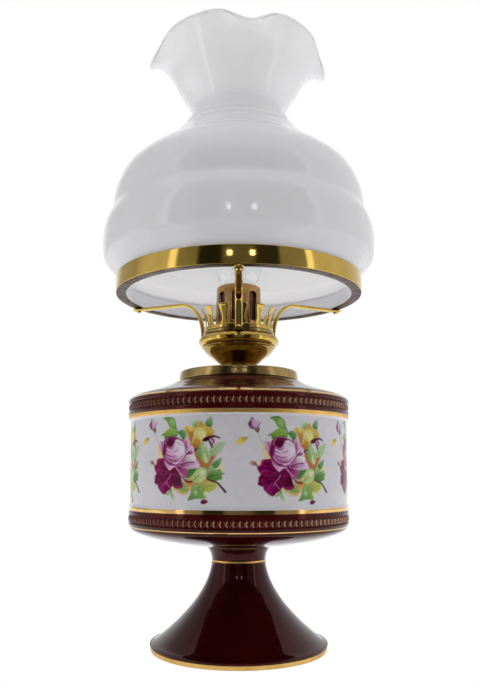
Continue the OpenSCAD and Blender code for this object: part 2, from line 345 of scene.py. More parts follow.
def painted():
    m, nt, b = material("painted_glaze")
    at = node(nt, "ShaderNodeVertexColor", layer_name="paint")
    n = tex_noise(nt, 170.0, 3.0)
    mul = ramp(nt, n.outputs["Fac"], [(0.25, 0.93), (0.75, 1.0)])
    mx = node(nt, "ShaderNodeMix", data_type="RGBA", blend_type="MULTIPLY")
    mx.inputs[0].default_value = 1.0
    nt.links.new(at.outputs["Color"], mx.inputs[6])
    nt.links.new(mul, mx.inputs[7])
    nt.links.new(mx.outputs[2], b.inputs["Base Color"])
    r2 = tex_noise(nt, 60.0, 3.0)
    nt.links.new(mapr(nt, r2.outputs["Fac"], 0.3, 0.7, 0.08, 0.16), b.inputs["Roughness"])
    b.inputs["IOR"].default_value = 1.45
    b.inputs["Specular IOR Level"].default_value = 0.14
    n3 = tex_noise(nt, 60.0, 2.0, 0.4)
    bump(nt, n3.outputs["Fac"], b, 0.04, 0.0008)
    return m


M["painted"] = painted()
M["gold"] = metal("gilt", (0.66, 0.40, 0.13), (0.82, 0.54, 0.21), 0.07, 0.14, 60.0, bump_s=0.05)
M["gold_satin"] = metal("satin_gilt", (0.76, 0.46, 0.12), (0.92, 0.60, 0.20), 0.40, 0.52, 60.0, bump_s=0.08)
M["brass"] = metal("polished_brass", (0.56, 0.375, 0.085), (0.68, 0.47, 0.115), 0.045, 0.10, 30.0,
                   tarnish=(0.16, 0.08, 0.03), t_at=(0.66, 0.80), bump_s=0.03)
M["brass_bowl"] = metal("turned_brass", (0.33, 0.215, 0.058), (0.43, 0.285, 0.078), 0.08, 0.15, 30.0,
                        tarnish=(0.16, 0.08, 0.03), t_at=(0.66, 0.80), bump_s=0.03)
M["brass_aged"] = metal("aged_brass", (0.31, 0.210, 0.078), (0.43, 0.300, 0.112), 0.15, 0.24, 40.0,
                        tarnish=(0.13, 0.08, 0.04), t_at=(0.60, 0.78), bump_s=0.05)
M["brass_dark"] = metal("brown_brass", (0.34, 0.180, 0.060), (0.54, 0.33, 0.115), 0.20, 0.36, 50.0,
                        tarnish=(0.08, 0.035, 0.02), t_at=(0.58, 0.78))
# a much darker brass for the shade ring's underside and inner face
M["brass_under"] = metal("dark_under_brass", (0.055, 0.033, 0.024), (0.13, 0.082, 0.055), 0.36, 0.55, 70.0,
                         tarnish=(0.02, 0.012, 0.008), t_at=(0.50, 0.70), bump_s=0.2)
M["fixing_brass"] = metal("fixing_brass", (0.60, 0.48, 0.26), (0.72, 0.60, 0.34), 0.25, 0.40)
M["steel"] = metal("steel", (0.45, 0.45, 0.46), (0.62, 0.62, 0.63), 0.28, 0.45)
M["tungsten"] = metal("tungsten", (0.16, 0.15, 0.15), (0.26, 0.25, 0.24), 0.35, 0.5)


def plain(name, c_lo, c_hi, r_lo, r_hi, scale=60.0, bump_s=0.1, bump_d=0.0004, coat=0.0):
    m, nt, b = material(name)
    n = tex_noise(nt, scale, 5.0)
    nt.links.new(ramp(nt, n.outputs["Fac"], [(0.3, c_lo), (0.7, c_hi)]), b.inputs["Base Color"])
    nt.links.new(mapr(nt, n.outputs["Fac"], 0.3, 0.7, r_lo, r_hi), b.inputs["Roughness"])
    if coat:
        b.inputs["Coat Weight"].default_value = coat
    n3 = tex_noise(nt, scale * 8, 6.0, 0.7)
    bump(nt, n3.outputs["Fac"], b, bump_s, bump_d)
    return m


M["phenolic"] = plain("brown_phenolic", (0.10, 0.030, 0.015), (0.16, 0.055, 0.028), 0.25, 0.4, coat=0.3)
M["felt"] = plain("felt", (0.012, 0.035, 0.018), (0.03, 0.07, 0.035), 0.9, 1.0, 200.0, 0.9, 0.001)
M["cork"] = plain("cork", (0.14, 0.08, 0.04), (0.30, 0.19, 0.10), 0.8, 0.95, 120.0, 0.8, 0.001)
M["dark_plastic"] = plain("dark_plastic", (0.018, 0.016, 0.015), (0.03, 0.028, 0.026), 0.3, 0.45)


def opal(name="opal_glass", scatter=1.0, glow=0.045):
    m, nt, b = material(name)
    n = tex_noise(nt, 9.0, 3.0)
    col = ramp(nt, n.outputs["Fac"], [(0.35, (0.90, 0.895, 0.915)), (0.65, (0.93, 0.925, 0.94))])
    nt.links.new(col, b.inputs["Base Color"])
    r2 = tex_noise(nt, 14.0, 3.0)
    nt.links.new(mapr(nt, r2.outputs["Fac"], 0.3, 0.7, 0.05, 0.10), b.inputs["Roughness"])
    b.inputs["IOR"].default_value = 1.5
    b.inputs["Subsurface Weight"].default_value = scatter
    b.inputs["Subsurface Radius"].default_value = (0.022, 0.021, 0.020)
    b.inputs["Subsurface Scale"].default_value = 1.0
    b.inputs["Coat Weight"].default_value = 0.15
    b.inputs["Coat Roughness"].default_value = 0.03
    # a faint painted glow: the glass gives out light in place of light that would come through it
    b.inputs["Emission Color"].default_value = (0.985, 0.975, 1.0, 1)
    b.inputs["Emission Strength"].default_value = glow
    n3 = tex_noise(nt, 22.0, 2.0, 0.4)
    bump(nt, n3.outputs["Fac"], b, 0.06, 0.0015)
    return m


M["opal"] = opal()
# the same glass with no scattering and a stronger painted glow, for the band hidden inside the ring
M["opal_seat"] = opal("opal_glass_seat_painted_glow", 0.0, 0.16)


def clear(name, tint, rough=0.0):
    m, nt, b = material(name)
    n = tex_noise(nt, 20.0, 2.0)
    nt.links.new(ramp(nt, n.outputs["Fac"], [(0.3, tint), (0.7, (1, 1, 1))]), b.inputs["Base Color"])
    b.inputs["Transmission Weight"].default_value = 1.0
    b.inputs["Roughness"].default_value = rough
    b.inputs["IOR"].default_value = 1.47
    n3 = tex_noise(nt, 30.0, 2.0, 0.4)
    bump(nt, n3.outputs["Fac"], b, 0.03, 0.0006)
    return m


M["glass"] = clear("clear_glass", (0.96, 0.98, 0.985))

# ---------------------------------------------------------------- foot
z_line = 81.2
ped_outer = spline(
    [(83, 5.2), (81.4, 6.6), (77, 9.2), (68, 16.4), (59.5, 24), (50.6, 33), (42, 43), (34.6, 54),
     (29.6, 64), (26.7, 73), (25.5, 81), (25.8, 85), (27.0, 89), (29.6, 93.4)], 8)
foot_prof = join(
    [(78, 4), (78, 0.2), (78.4, 0)], arc(81.2, 1.2, 1.2, -90, 0, 5), [(82.4, 3.6)], arc(81.9, 3.9, 0.5, 0, 60, 4),
    arc(81.9, 5.5, 1.2, -40, 50, 7), ped_outer[4:], [(29.4, 94), (6, 94), (6, 78), (19, 78), (19, 74)],
    spline([(19.5, 70), (24, 59), (31, 47), (40, 36.5), (51, 26), (61, 17.5), (69, 11), (73.5, 7)], 4), [(74, 4)])
# rows at the gilt line's edges, so that its boundary is crisp
extra = [(np.interp(z, ped_outer[:, 1], ped_outer[:, 0]), z) for z in (z_line - 0.75, z_line + 0.75)]


def with_rows(prof, rows):
    out = list(map(tuple, prof))
    for r, z in rows:
        best = None
        for i in range(len(out) - 1):
            (r0, z0), (r1, z1) = out[i], out[i + 1]
            if min(z0, z1) <= z <= max(z0, z1) and abs(r0 - r) < 12 and abs(z1 - z0) > 1e-6:
                t = (z - z0) / (z1 - z0)
                rr = r0 + (r1 - r0) * t
                if best is None or abs(rr - r) < abs(best[1] - r):
                    best = (i, rr)
        if best and min(abs(out[best[0]][1] - z), abs(out[best[0] + 1][1] - z)) > 1e-3:
            out.insert(best[0] + 1, (best[1], z))
    return np.array(out)


foot_prof = with_rows(foot_prof, extra)


def foot_mat(a, b):
    r, z = (a[0] + b[0]) / 2, (a[1] + b[1]) / 2
    if z < 3.95 and r > 78.2:
        return 1
    if abs(z - z_line) < 0.76 and r > 20:
        return 1
    return 0


def line_wobble(lines, amp):
    """Rows that bound a painted line wander a little, as a hand-held brush does."""
    def f(rings, a):
        out = np.zeros((len(rings), len(a)))
        for i, (r, z) in enumerate(rings):
            for k, (zl, rmin) in enumerate(lines):
                if abs(z - zl) < 1e-3 and r > rmin:
                    out[i] = amp * noise1(a, 11 + k)
        return out
    return f


foot = lathe("ceramic_foot", foot_prof[::-1], 256, [M["burgundy"], M["gold_satin"]], closed=True, row_mat=foot_mat,
             wobble=line_wobble([(z_line - 0.75, 20), (z_line + 0.75, 20)], 0.10))
fix_normals(foot)
put(foot, "base", "burgundy_glaze", "pedestal")

# ---------------------------------------------------------------- font
DR, RO = 103.2, 105.4  # drum and rim radii
BEADS, BEAD_SEG = 120, 16


def bead_band(name, zc, body_r, lip, half_h=3.0, rise=1.6, rows=23, half_z=3.9):
    """A channel with a row of upright oval beads, between two rolls."""
    cols = BEADS * BEAD_SEG
    a = np.linspace(0, 2 * np.pi, cols, endpoint=False)
    zs = np.linspace(-half_z, half_z, rows)
    pitch = 2 * np.pi * body_r / BEADS
    s = (((a * BEADS / (2 * np.pi)) % 1.0) - 0.5) * pitch
    S, Z = np.meshgrid(s, zs)
    q = 1 - np.abs(S / (pitch * 0.455)) ** 2.2 - np.abs(Z / half_h) ** 2.4
    h = rise * np.sqrt(np.clip(q, 0, 1))
    edge = smooth01((np.abs(Z) - (half_h + 0.1)) / (half_z - half_h - 0.1))
    r = (body_r - 1.5) + h + (lip - (body_r - 1.5)) * edge
    A = np.broadcast_to(a, S.shape)
    v = np.stack([r * np.cos(A), r * np.sin(A), zc + Z], -1).reshape(-1, 3) * MM
    # the glaze is thin and pale along one flank of each bead, as a crescent, and the same crescent carries a painted
    # highlight; a weaker one lies on the other flank
    rho = np.sqrt((S / (pitch * 0.455)) ** 2 + (Z / half_h) ** 2)
    cres = np.exp(-((rho - 0.84) / 0.20) ** 2) * smooth01((-S / (pitch * 0.455) - 0.22) / 0.40)
    far = np.exp(-((rho - 0.86) / 0.13) ** 2) * smooth01((S / (pitch * 0.455) - 0.35) / 0.35)
    # the crescent's strength rises and falls round the band
    lit = 0.80 + 0.20 * np.sin(7 * A + 1.3) * np.sin(13 * A)
    # painted light: the crescent is paler towards each bead's top
    up = 0.80 + 0.20 * np.clip(Z / half_h, -1, 1)
    thin_glaze_and_highlight = np.clip(cres * lit * up * 1.1 + far * 0.16, 0, 1)[..., None] * np.ones(3)
    return new_object(name, v, grid_faces(rows, cols), True, [M["burgundy_bead"]],
                      colors={"thin_glaze_and_highlight": thin_glaze_and_highlight.reshape(-1, 3)})


lo_c, up_c, half = 121.0, 224.0, 3.9
lip_lo, lip_up = 104.5, 105.4
put(fix_normals(bead_band("rim_beads_lower", lo_c, 104.4, lip_lo)), "base", "burgundy_glaze", "font")
put(fix_normals(bead_band("rim_beads_upper", up_c, 105.2, lip_up)), "base", "burgundy_glaze", "font")

g_lo = (129.1, 132.5)
g_up = (213.0, 216.6)
t_lo, t_up = 113.9, 232.75
under = join(
    [(6, 101), (6, 95), (34, 95)],
    spline([(35, 95.1), (45.2, 96.2), (62.6, 99.1), (78.2, 102.2), (89.2, 105.3), (97.2, 108.4), (101.6, 111.2),
            (103.5, 114.4), (104.3, 116)], 6), [(lip_lo, lo_c - half)])
mid_lo = join(
    [(lip_lo, lo_c + half)], spline([(104.4, 125.6), (104.3, 127.2), (104.1, 128.4), (104.1, 129.1), (104.2, 130.8),
                                     (104.1, 132.5), (103.7, 133.6), (DR, 135.0)], 4))
mid_up = join(
    spline([(DR, 210.6), (103.7, 211.9), (104.7, 213.0), (105.1, 214.8), (105.1, 216.6), (105.5, 217.6),
            (105.7, 218.8), (105.5, 219.8)], 4), [(lip_up, up_c - half)])
top_out = join(
    [(lip_up, up_c + half)],
    spline([(105.6, 228.6), (105.7, 229.8), (105.2, 231.2), (103.9, 232.7), (100.2, 235.1), (94.2, 237.3),
            (87.4, 239.2), (81.2, 240.9), (75.2, 243), (67.4, 246), (62.2, 248.8), (59.4, 250.1)], 7),
    [(59, 250.4), (30, 250.4), (30, 245)],
    spline([(50, 243.4), (70, 238.4), (90, 232), (98.6, 226), (97.4, 214)], 3),
    spline([(97.2, 205), (97.2, 140), (97.2, 120), (92, 112.4), (72, 107.6), (40, 102.6)], 3), [(6, 101)])


def add_line(prof, z, half_w, side=1):
    o = np.array([(r, zz) for r, zz in prof if r > 60])
    order = np.argsort(o[:, 1])
    rows = [(np.interp(z + s * half_w, o[order, 1], o[order, 0]), z + s * half_w) for s in (-1, 1)]
    return with_rows(prof, rows)


W_LO, W_UP = 0.42, 0.95
under = add_line(under, t_lo, W_LO)
top_half = top_out[: np.argmax(top_out[:, 0] < 59.2)]
top_rest = top_out[np.argmax(top_out[:, 0] < 59.2):]
top_half = add_line(top_half, t_up, W_UP)
top_out = join(top_half, top_rest)


def font_mat(a, b):
    r, z = (a[0] + b[0]) / 2, (a[1] + b[1]) / 2
    if r < 98.5 and 112 < z < 232:
        return 0
    if abs(z - t_lo) < W_LO + 0.01 and r > 95 or abs(z - t_up) < W_UP + 0.01 and r > 98.8:
        return 1
    if g_up[0] - 0.01 < z < g_up[1] + 0.01:
        return 3
    if g_lo[0] - 0.01 < z < g_lo[1] + 0.01:
        return 1
    if g_lo[1] < z < g_up[0]:
        return 2
    return 0


FONT_MATS = [M["burgundy"], M["gold"], M["white"], M["gold_satin"]]
SEG = 384
lines = [(t_lo - W_LO, 95), (t_lo + W_LO, 95), (t_up - W_UP, 95), (t_up + W_UP, 95)]
for nm, prof in (("font_underside", under), ("font_lower_rim", mid_lo), ("font_upper_rim", mid_up),
                 ("font_top", top_out)):
    # the font's underside keeps the darker glaze and its other parts take the lighter copy, painted light
    mats = FONT_MATS if nm == "font_underside" else [M["burgundy_rim"]] + FONT_MATS[1:]
    ob = lathe(nm, prof, SEG, mats, row_mat=font_mat, wobble=line_wobble(lines, 0.10))
    put(fix_normals(ob), "base", "painted_ceramic", "font")


# ---------------------------------------------------------------- rose sprays
def lin(c):
    c = np.array(c, float) / 255.0
    return np.where(c <= 0.04045, c / 12.92, ((c + 0.055) / 1.055) ** 2.4)


GROUND = np.array([0.755, 0.740, 0.780])
SHOWN = lin((190, 186, 195))


def paint_colour(c):
    veil = 0.005
    return np.clip((lin(c) - veil) / (SHOWN - veil) * GROUND, 0.002, 0.85)


class Canvas:
    """A patch of the drum's glaze, u along the drum and v up, in mm, that soft-edged brush shapes are laid on."""

    def __init__(self, u0, u1, v0, v1, h):
        self.u0, self.v0, self.h = u0, v0, h
        self.u = np.arange(u0, u1 + h / 2, h)
        self.v = np.arange(v0, v1 + h / 2, h)
        self.U, self.V = np.meshgrid(self.u, self.v)
        self.rgb = np.zeros(self.U.shape + (3,))
        self.a = np.zeros(self.U.shape)
        rs = np.random.RandomState(5)
        self.grain = self.cloud(rs, 14) * 0.6 + self.cloud(rs, 40) * 0.4

    def cloud(self, rs, n):
        g = rs.uniform(-1, 1, (n + 3, n + 3))
        y = np.linspace(0, n, self.U.shape[0])
        x = np.linspace(0, n, self.U.shape[1])
        iy, ix = np.floor(y).astype(int), np.floor(x).astype(int)
        fy, fx = smooth01(y - iy)[:, None], smooth01(x - ix)[None]
        a, b = g[np.ix_(iy, ix)], g[np.ix_(iy, ix + 1)]
        c, d = g[np.ix_(iy + 1, ix)], g[np.ix_(iy + 1, ix + 1)]
        return (a * (1 - fx) + b * fx) * (1 - fy) + (c * (1 - fx) + d * fx) * fy

    def window(self, p, pad):
        lo, hi = p.min(0) - pad, p.max(0) + pad
        j0, j1 = np.searchsorted(self.u, lo[0]), np.searchsorted(self.u, hi[0])
        i0, i1 = np.searchsorted(self.v, lo[1]), np.searchsorted(self.v, hi[1])
        return slice(max(i0 - 1, 0), i1 + 1), slice(max(j0 - 1, 0), j1 + 1)

    def lay(self, w, col, m):
        m = np.clip(m, 0, 1)
        a0 = self.a[w]
        a1 = m + a0 * (1 - m)
        k = np.where(a1 > 1e-6, m / np.maximum(a1, 1e-6), 0)[..., None]
        self.rgb[w] = col * k + self.rgb[w] * (1 - k)
        self.a[w] = a1

    @staticmethod
    def closed(pts, n=5):
        p = np.array(pts, float)
        m = len(p)
        t = np.arange(n)[:, None] / n
        out = []
        for i in range(m):
            a, b, c, d = p[i - 1], p[i], p[(i + 1) % m], p[(i + 2) % m]
            out.append(0.5 * (2 * b + (c - a) * t + (2 * a - 5 * b + 4 * c - d) * t**2 + (3 * b - a - 3 * c + d) * t**3))
        return np.concatenate(out)

    @staticmethod
    def seg_dist(P, A, B):
        d = B - A
        L = np.maximum((d * d).sum(-1), 1e-9)
        t = np.clip(((P[:, None] - A[None]) * d[None]).sum(-1) / L[None], 0, 1)
        q = A[None] + t[..., None] * d[None]
        D = np.linalg.norm(P[:, None] - q, axis=2)
        return D, t

    def shape(self, pts, col, to=None, way=0.0, edge=None, edge_w=1.2, soft=0.35, alpha=1.0, grain=0.07, smooth=True):
        """A closed brush shape. col runs to `to` along the direction `way` in degrees, and edge tints its rim."""
        p = self.closed(pts) if smooth else np.array(pts, float)
        w = self.window(p, soft * 3 + 0.5)
        U, V = self.U[w], self.V[w]
        P = np.stack([U.ravel(), V.ravel()], 1)
        A, B = p, np.roll(p, -1, 0)
        D, _ = self.seg_dist(P, A, B)
        dist = D.min(1)
        y, x = P[:, 1][:, None], P[:, 0][:, None]
        cond = (A[None, :, 1] > y) != (B[None, :, 1] > y)
        dy = B[:, 1] - A[:, 1]
        xi = A[None, :, 0] + (y - A[None, :, 1]) * (B[:, 0] - A[:, 0])[None] / np.where(np.abs(dy) < 1e-9, 1e-9, dy)[None]
        inside = (np.sum(cond & (x < xi), 1) % 2) == 1
        sd = np.where(inside, dist, -dist).reshape(U.shape)
        m = smooth01((sd + soft) / (2 * soft)) * alpha
        c0 = paint_colour(col)
        C = np.broadcast_to(c0, U.shape + (3,)).copy()
        if to is not None:
            dx, dyy = math.cos(math.radians(way)), math.sin(math.radians(way))
            s = U * dx + V * dyy
            ps = p[:, 0] * dx + p[:, 1] * dyy
            t = smooth01((s - ps.min()) / max(ps.max() - ps.min(), 1e-6))[..., None]
            C = C * (1 - t) + paint_colour(to) * t
        if edge is not None:
            t = (1 - smooth01(sd / edge_w))[..., None]
            C = C * (1 - t * 0.85) + paint_colour(edge) * t * 0.85
        C = C * (1 + grain * self.grain[w][..., None])
        self.lay(w, C, m)

    def stroke(self, pts, w0, w1, col, to=None, soft=0.3, alpha=1.0, n=6):
        p = spline(pts, n) if len(pts) > 2 else np.array(pts, float)
        win = self.window(p, max(w0, w1) + soft * 3)
        U, V = self.U[win], self.V[win]
        P = np.stack([U.ravel(), V.ravel()], 1)
        A, B = p[:-1], p[1:]
        D, t = self.seg_dist(P, A, B)
        k = D.argmin(1)
        L = np.concatenate([[0], np.cumsum(np.linalg.norm(B - A, axis=1))])
        s = (L[k] + t[np.arange(len(P)), k] * (L[k + 1] - L[k])) / L[-1]
        wd = (w0 + (w1 - w0) * s) / 2
        m = smooth01((wd - D.min(1) + soft) / (2 * soft)).reshape(U.shape) * alpha
        C = np.broadcast_to(paint_colour(col), U.shape + (3,)).copy()
        if to is not None:
            q = s.reshape(U.shape)[..., None]
            C = C * (1 - q) + paint_colour(to) * q
        self.lay(win, C, m)

    def leaf(self, pts, col, to, way, rib, rib_col, veins=4, vein_col=None, vein_w=0.45, **kw):
        """A leaf shape with a midrib and pairs of side veins that lean towards its tip."""
        kw.setdefault("grain", 0.15)
        col, to = [tuple(round(v * 0.90 + w) for v, w in zip(q, (10, 12, 19))) for q in (col, to)]
        self.shape(pts, col, to, way, **kw)
        self.stroke(rib, 0.8, 0.35, rib_col, soft=0.25, alpha=0.75)
        r = spline(rib, 8) if len(rib) > 2 else np.array(rib, float)
        c = np.array(pts, float).mean(0)
        span = np.linalg.norm(np.array(pts, float) - c, axis=1).mean()
        for i in range(veins):
            f = (i + 0.7) / (veins + 0.6)
            q = r[int(f * (len(r) - 1))]
            t = r[min(int(f * (len(r) - 1)) + 1, len(r) - 1)] - r[max(int(f * (len(r) - 1)) - 1, 0)]
            t = t / (np.linalg.norm(t) + 1e-9)
            nrm = np.array([-t[1], t[0]])
            ln = span * (0.62 - 0.25 * abs(f - 0.4))
            for sgn in (-1, 1):
                e = q + (t * 0.75 + nrm * sgn * 0.8) * ln
                self.stroke([q, e], vein_w * 1.15, 0.15, vein_col or rib_col, soft=0.26, alpha=0.72)


def spray():
    c = Canvas(-46.0, 50.0, 134.0, 212.0, 0.25)
    # shadows and washes
    wash = dict(soft=1.6, grain=0.12)
    c.shape([(-18.5, 187), (-15, 186), (-12.5, 178), (-11, 172), (-15, 172), (-18, 176)], (203, 178, 118), **wash, alpha=0.85)
    c.shape([(-24, 172), (-21, 174.5), (-18, 174), (-19, 169), (-23, 168)], (196, 168, 146), **wash, alpha=0.7)
    c.shape([(-1, 150), (3, 146.5), (8, 144), (13, 144.5), (17, 149), (16, 154), (10, 153)], (188, 146, 84), **wash, alpha=0.95)
    c.shape([(9, 154.5), (16, 151), (24, 152), (31, 151), (33, 157), (24, 158), (14, 158)], (178, 122, 66), **wash, alpha=0.95)
    c.shape([(19, 182), (20, 176), (23, 170.5), (26, 166), (32, 165), (35, 170), (38.5, 176.5), (34, 178.5), (28, 173), (22, 182)],
            (160, 100, 56), **wash, alpha=1)
    c.shape([(30, 172), (33, 165), (33, 158), (29, 155), (27, 160), (28, 168)], (166, 112, 72), **wash, alpha=0.9)
    c.shape([(38, 167), (43, 169), (45.5, 166), (42, 162.5)], (212, 188, 132), **wash, alpha=0.85)
    c.shape([(36, 155), (40, 157), (41, 152), (36, 148), (30, 146), (33, 152)], (205, 190, 120), **wash, alpha=0.6)

    g_dk, g_md, g_yl, g_pl, g_cr = (72, 112, 48), (102, 146, 72), (136, 156, 62), (160, 184, 140), (196, 204, 150)
    # far leaves
    c.shape([(16, 206), (20, 206.5), (23.5, 205.5), (22.5, 201), (20, 199.5), (17.5, 202)], (178, 192, 166), g_md, -60, soft=0.6)
    c.leaf([(34.5, 209.5), (31, 206.5), (29, 203), (30.5, 201), (33, 199.5), (35.5, 201.5), (35.8, 206)], g_dk, (150, 178, 134),
           70, [(33, 200.5), (34.2, 208)], (84, 120, 58), 2)
    c.leaf([(46, 188), (41, 187), (36, 184.5), (33.5, 181), (33.5, 176.5), (38, 176.5), (42.5, 179.5), (45, 184)],
           (146, 168, 112), (172, 190, 150), 40, [(34, 177.5), (39, 182.5), (45.5, 187.6)], (120, 146, 96), 4, edge=(130, 160, 112),
           edge_w=0.9)
    c.leaf([(43, 174.8), (39, 172.8), (35.5, 170), (35, 166.3), (39, 166), (42, 169), (43.2, 172)], g_dk, (124, 160, 100), 60,
           [(36, 166.8), (42.6, 174)], (66, 98, 44), 3)
    c.leaf([(31, 160), (33.5, 163.5), (33, 167), (36.5, 166), (38, 164.5), (42, 165.6), (43.5, 163), (46, 161.5), (43.2, 160),
            (44, 157.6), (40, 156), (36, 155.2), (32.4, 157)], (68, 108, 36), (122, 160, 92), 65,
           [(31.5, 158.5), (38, 160.5), (45, 161.4)], (56, 92, 34), 4)
    c.shape([(33, 167.5), (34.4, 164), (37.5, 161), (38, 164), (36.5, 167.5)], (140, 176, 118), g_md, -50, soft=0.6, alpha=0.8)
    c.leaf([(25, 149.5), (27.5, 153.5), (31.5, 156), (36, 154.8), (39.5, 151.6), (37.5, 148.5), (32.5, 146.4), (28.4, 145.4)],
           (148, 150, 56), (176, 176, 86), 40, [(26, 148), (32, 151.5), (38.6, 151.6)], (116, 132, 48), 4)
    c.shape([(28, 146), (31, 147.5), (32, 144), (29.5, 142.5)], (196, 196, 140), soft=0.6, alpha=0.8)
    c.leaf([(16.5, 145), (13.6, 139.4), (20, 140.6), (26, 141.4), (28, 146.5), (25, 152.8), (20.5, 153), (17, 149.6)],
           (92, 136, 60), (134, 160, 84), 80, [(24.6, 151.6), (21, 146), (16.5, 140.6)], (72, 112, 48), 4, edge=(88, 128, 58),
           edge_w=1.1)
    c.shape([(19, 146.5), (21.5, 148), (23, 146), (21, 143.5)], (164, 188, 138), soft=1.0, alpha=0.75)
    c.leaf([(4.5, 150.5), (8.6, 153.8), (12.6, 151.6), (14.4, 147.6), (10.4, 145.6), (6, 147)], g_md, (142, 160, 76), -30,
           [(5.5, 151), (9.5, 148.6), (13.8, 147)], (88, 120, 48), 3)
    c.shape([(-8.4, 143.4), (-5.6, 147), (-2, 149.4), (-1.8, 146.6), (-5.4, 144)], (112, 142, 92), (150, 172, 126), 30, soft=0.5)
    c.shape([(-3.6, 145.4), (-0.8, 144.4), (0.8, 140.4), (1.2, 136.8), (-1.2, 139), (-3.4, 142)], (132, 156, 100), (186, 196, 160),
            -80, soft=0.55)
    c.shape([(-3, 150), (-0.6, 150.4), (1.4, 148), (-0.4, 146.8)], (172, 184, 110), soft=0.5, alpha=0.8)

    # yellow rose
    y_lt, y_md, y_dk, y_br = (210, 194, 126), (194, 158, 84), (164, 120, 60), (146, 96, 62)
    c.shape([(10, 200.4), (13, 201.4), (17, 200.4), (21, 200), (22, 195), (20, 190), (17, 185.5), (14.4, 190), (12.4, 195.4),
             (10.4, 198)], y_md, y_dk, -60, edge=(200, 168, 80), edge_w=1.0)
    c.shape([(12.5, 198.4), (16, 199.4), (19, 198), (18, 193), (16.4, 189), (14.6, 193)], y_dk, y_br, -70, soft=0.7, alpha=0.75)
    c.shape([(14, 200), (18, 201), (21, 199), (18, 196.6), (14.6, 197.4)], (212, 184, 98), y_md, -40, soft=0.5, alpha=0.85)
    c.shape([(25.4, 205.6), (28, 202.6), (31, 200.6), (34.6, 199.4), (37, 196.4), (36, 193), (31, 192.6), (28, 196), (24, 199),
             (21.6, 200.8)], y_md, (200, 168, 76), 40, edge=(176, 132, 48), edge_w=0.9)
    c.shape([(25.2, 204.6), (27.4, 202), (28.6, 199), (25.6, 198), (23.4, 200)], y_dk, y_md, -40, soft=0.6, alpha=0.85)
    c.shape([(31, 198), (35, 198.4), (36.8, 196), (35.4, 192.4), (31.4, 192.6)], y_dk, (206, 172, 82), 50, edge=y_dk, edge_w=0.8)
    c.shape([(19.4, 198), (24, 200.4), (28.4, 199.2), (31, 196), (30, 191), (27.2, 186), (24, 184), (20.6, 187), (18.6, 192)],
            (182, 142, 62), y_lt, 62, edge=(184, 152, 68), edge_w=1.3)
    c.shape([(23, 196.6), (26.4, 198.2), (29.4, 196), (28.6, 191.6), (25.4, 189.6), (22.8, 192.6)], (210, 200, 128),
            (214, 208, 146), 60, soft=1.2, alpha=0.9)
    c.shape([(15.6, 187.4), (19.6, 190.4), (25, 188.6), (24.4, 184.6), (21.4, 181.4), (18, 182.4), (16, 184.8)], (150, 92, 42),
            (178, 134, 60), 75)
    c.stroke([(20.6, 196.8), (19.4, 191.4), (17.2, 186.8)], 0.9, 0.5, (226, 208, 148), soft=0.35, alpha=0.9)
    c.stroke([(21, 200), (23, 198), (27, 197.4), (31, 198.8)], 0.5, 0.4, (168, 124, 52), soft=0.3, alpha=0.75)
    c.stroke([(22, 190), (24.6, 192.6), (25.6, 196)], 0.4, 0.4, (186, 150, 72), soft=0.35, alpha=0.6)
    c.stroke([(28.4, 198.4), (30.4, 194.6), (29.6, 190.4)], 0.5, 0.5, (184, 144, 62), soft=0.35, alpha=0.7)

    # curled petals on the right of it
    c.shape([(31.6, 190.8), (34, 191.6), (37.4, 190.4), (37, 187), (35, 184.6), (33, 187)], (196, 158, 176), (170, 104, 140), -50,
            soft=0.4)
    c.stroke([(31.8, 190.6), (33.6, 187.4), (35.2, 183.4)], 2.2, 1.4, (66, 14, 38), soft=0.4)
    c.stroke([(28, 189.4), (29.8, 190.2), (32.6, 191.4), (36.6, 192.4), (39.6, 191.8), (41.8, 190.8)], 2.4, 1.3, (62, 16, 38),
             soft=0.35)
    c.shape([(27.4, 189.4), (29.4, 191.8), (32.4, 192.4), (32.6, 190), (30, 187.9)], (58, 14, 34), soft=0.4)
    c.stroke([(34.8, 190.6), (36.2, 189), (37.4, 186.6)], 1.2, 0.7, (112, 34, 76), soft=0.35)
    c.stroke([(33.2, 189.4), (34.8, 187)], 0.6, 0.4, (214, 178, 198), soft=0.25)

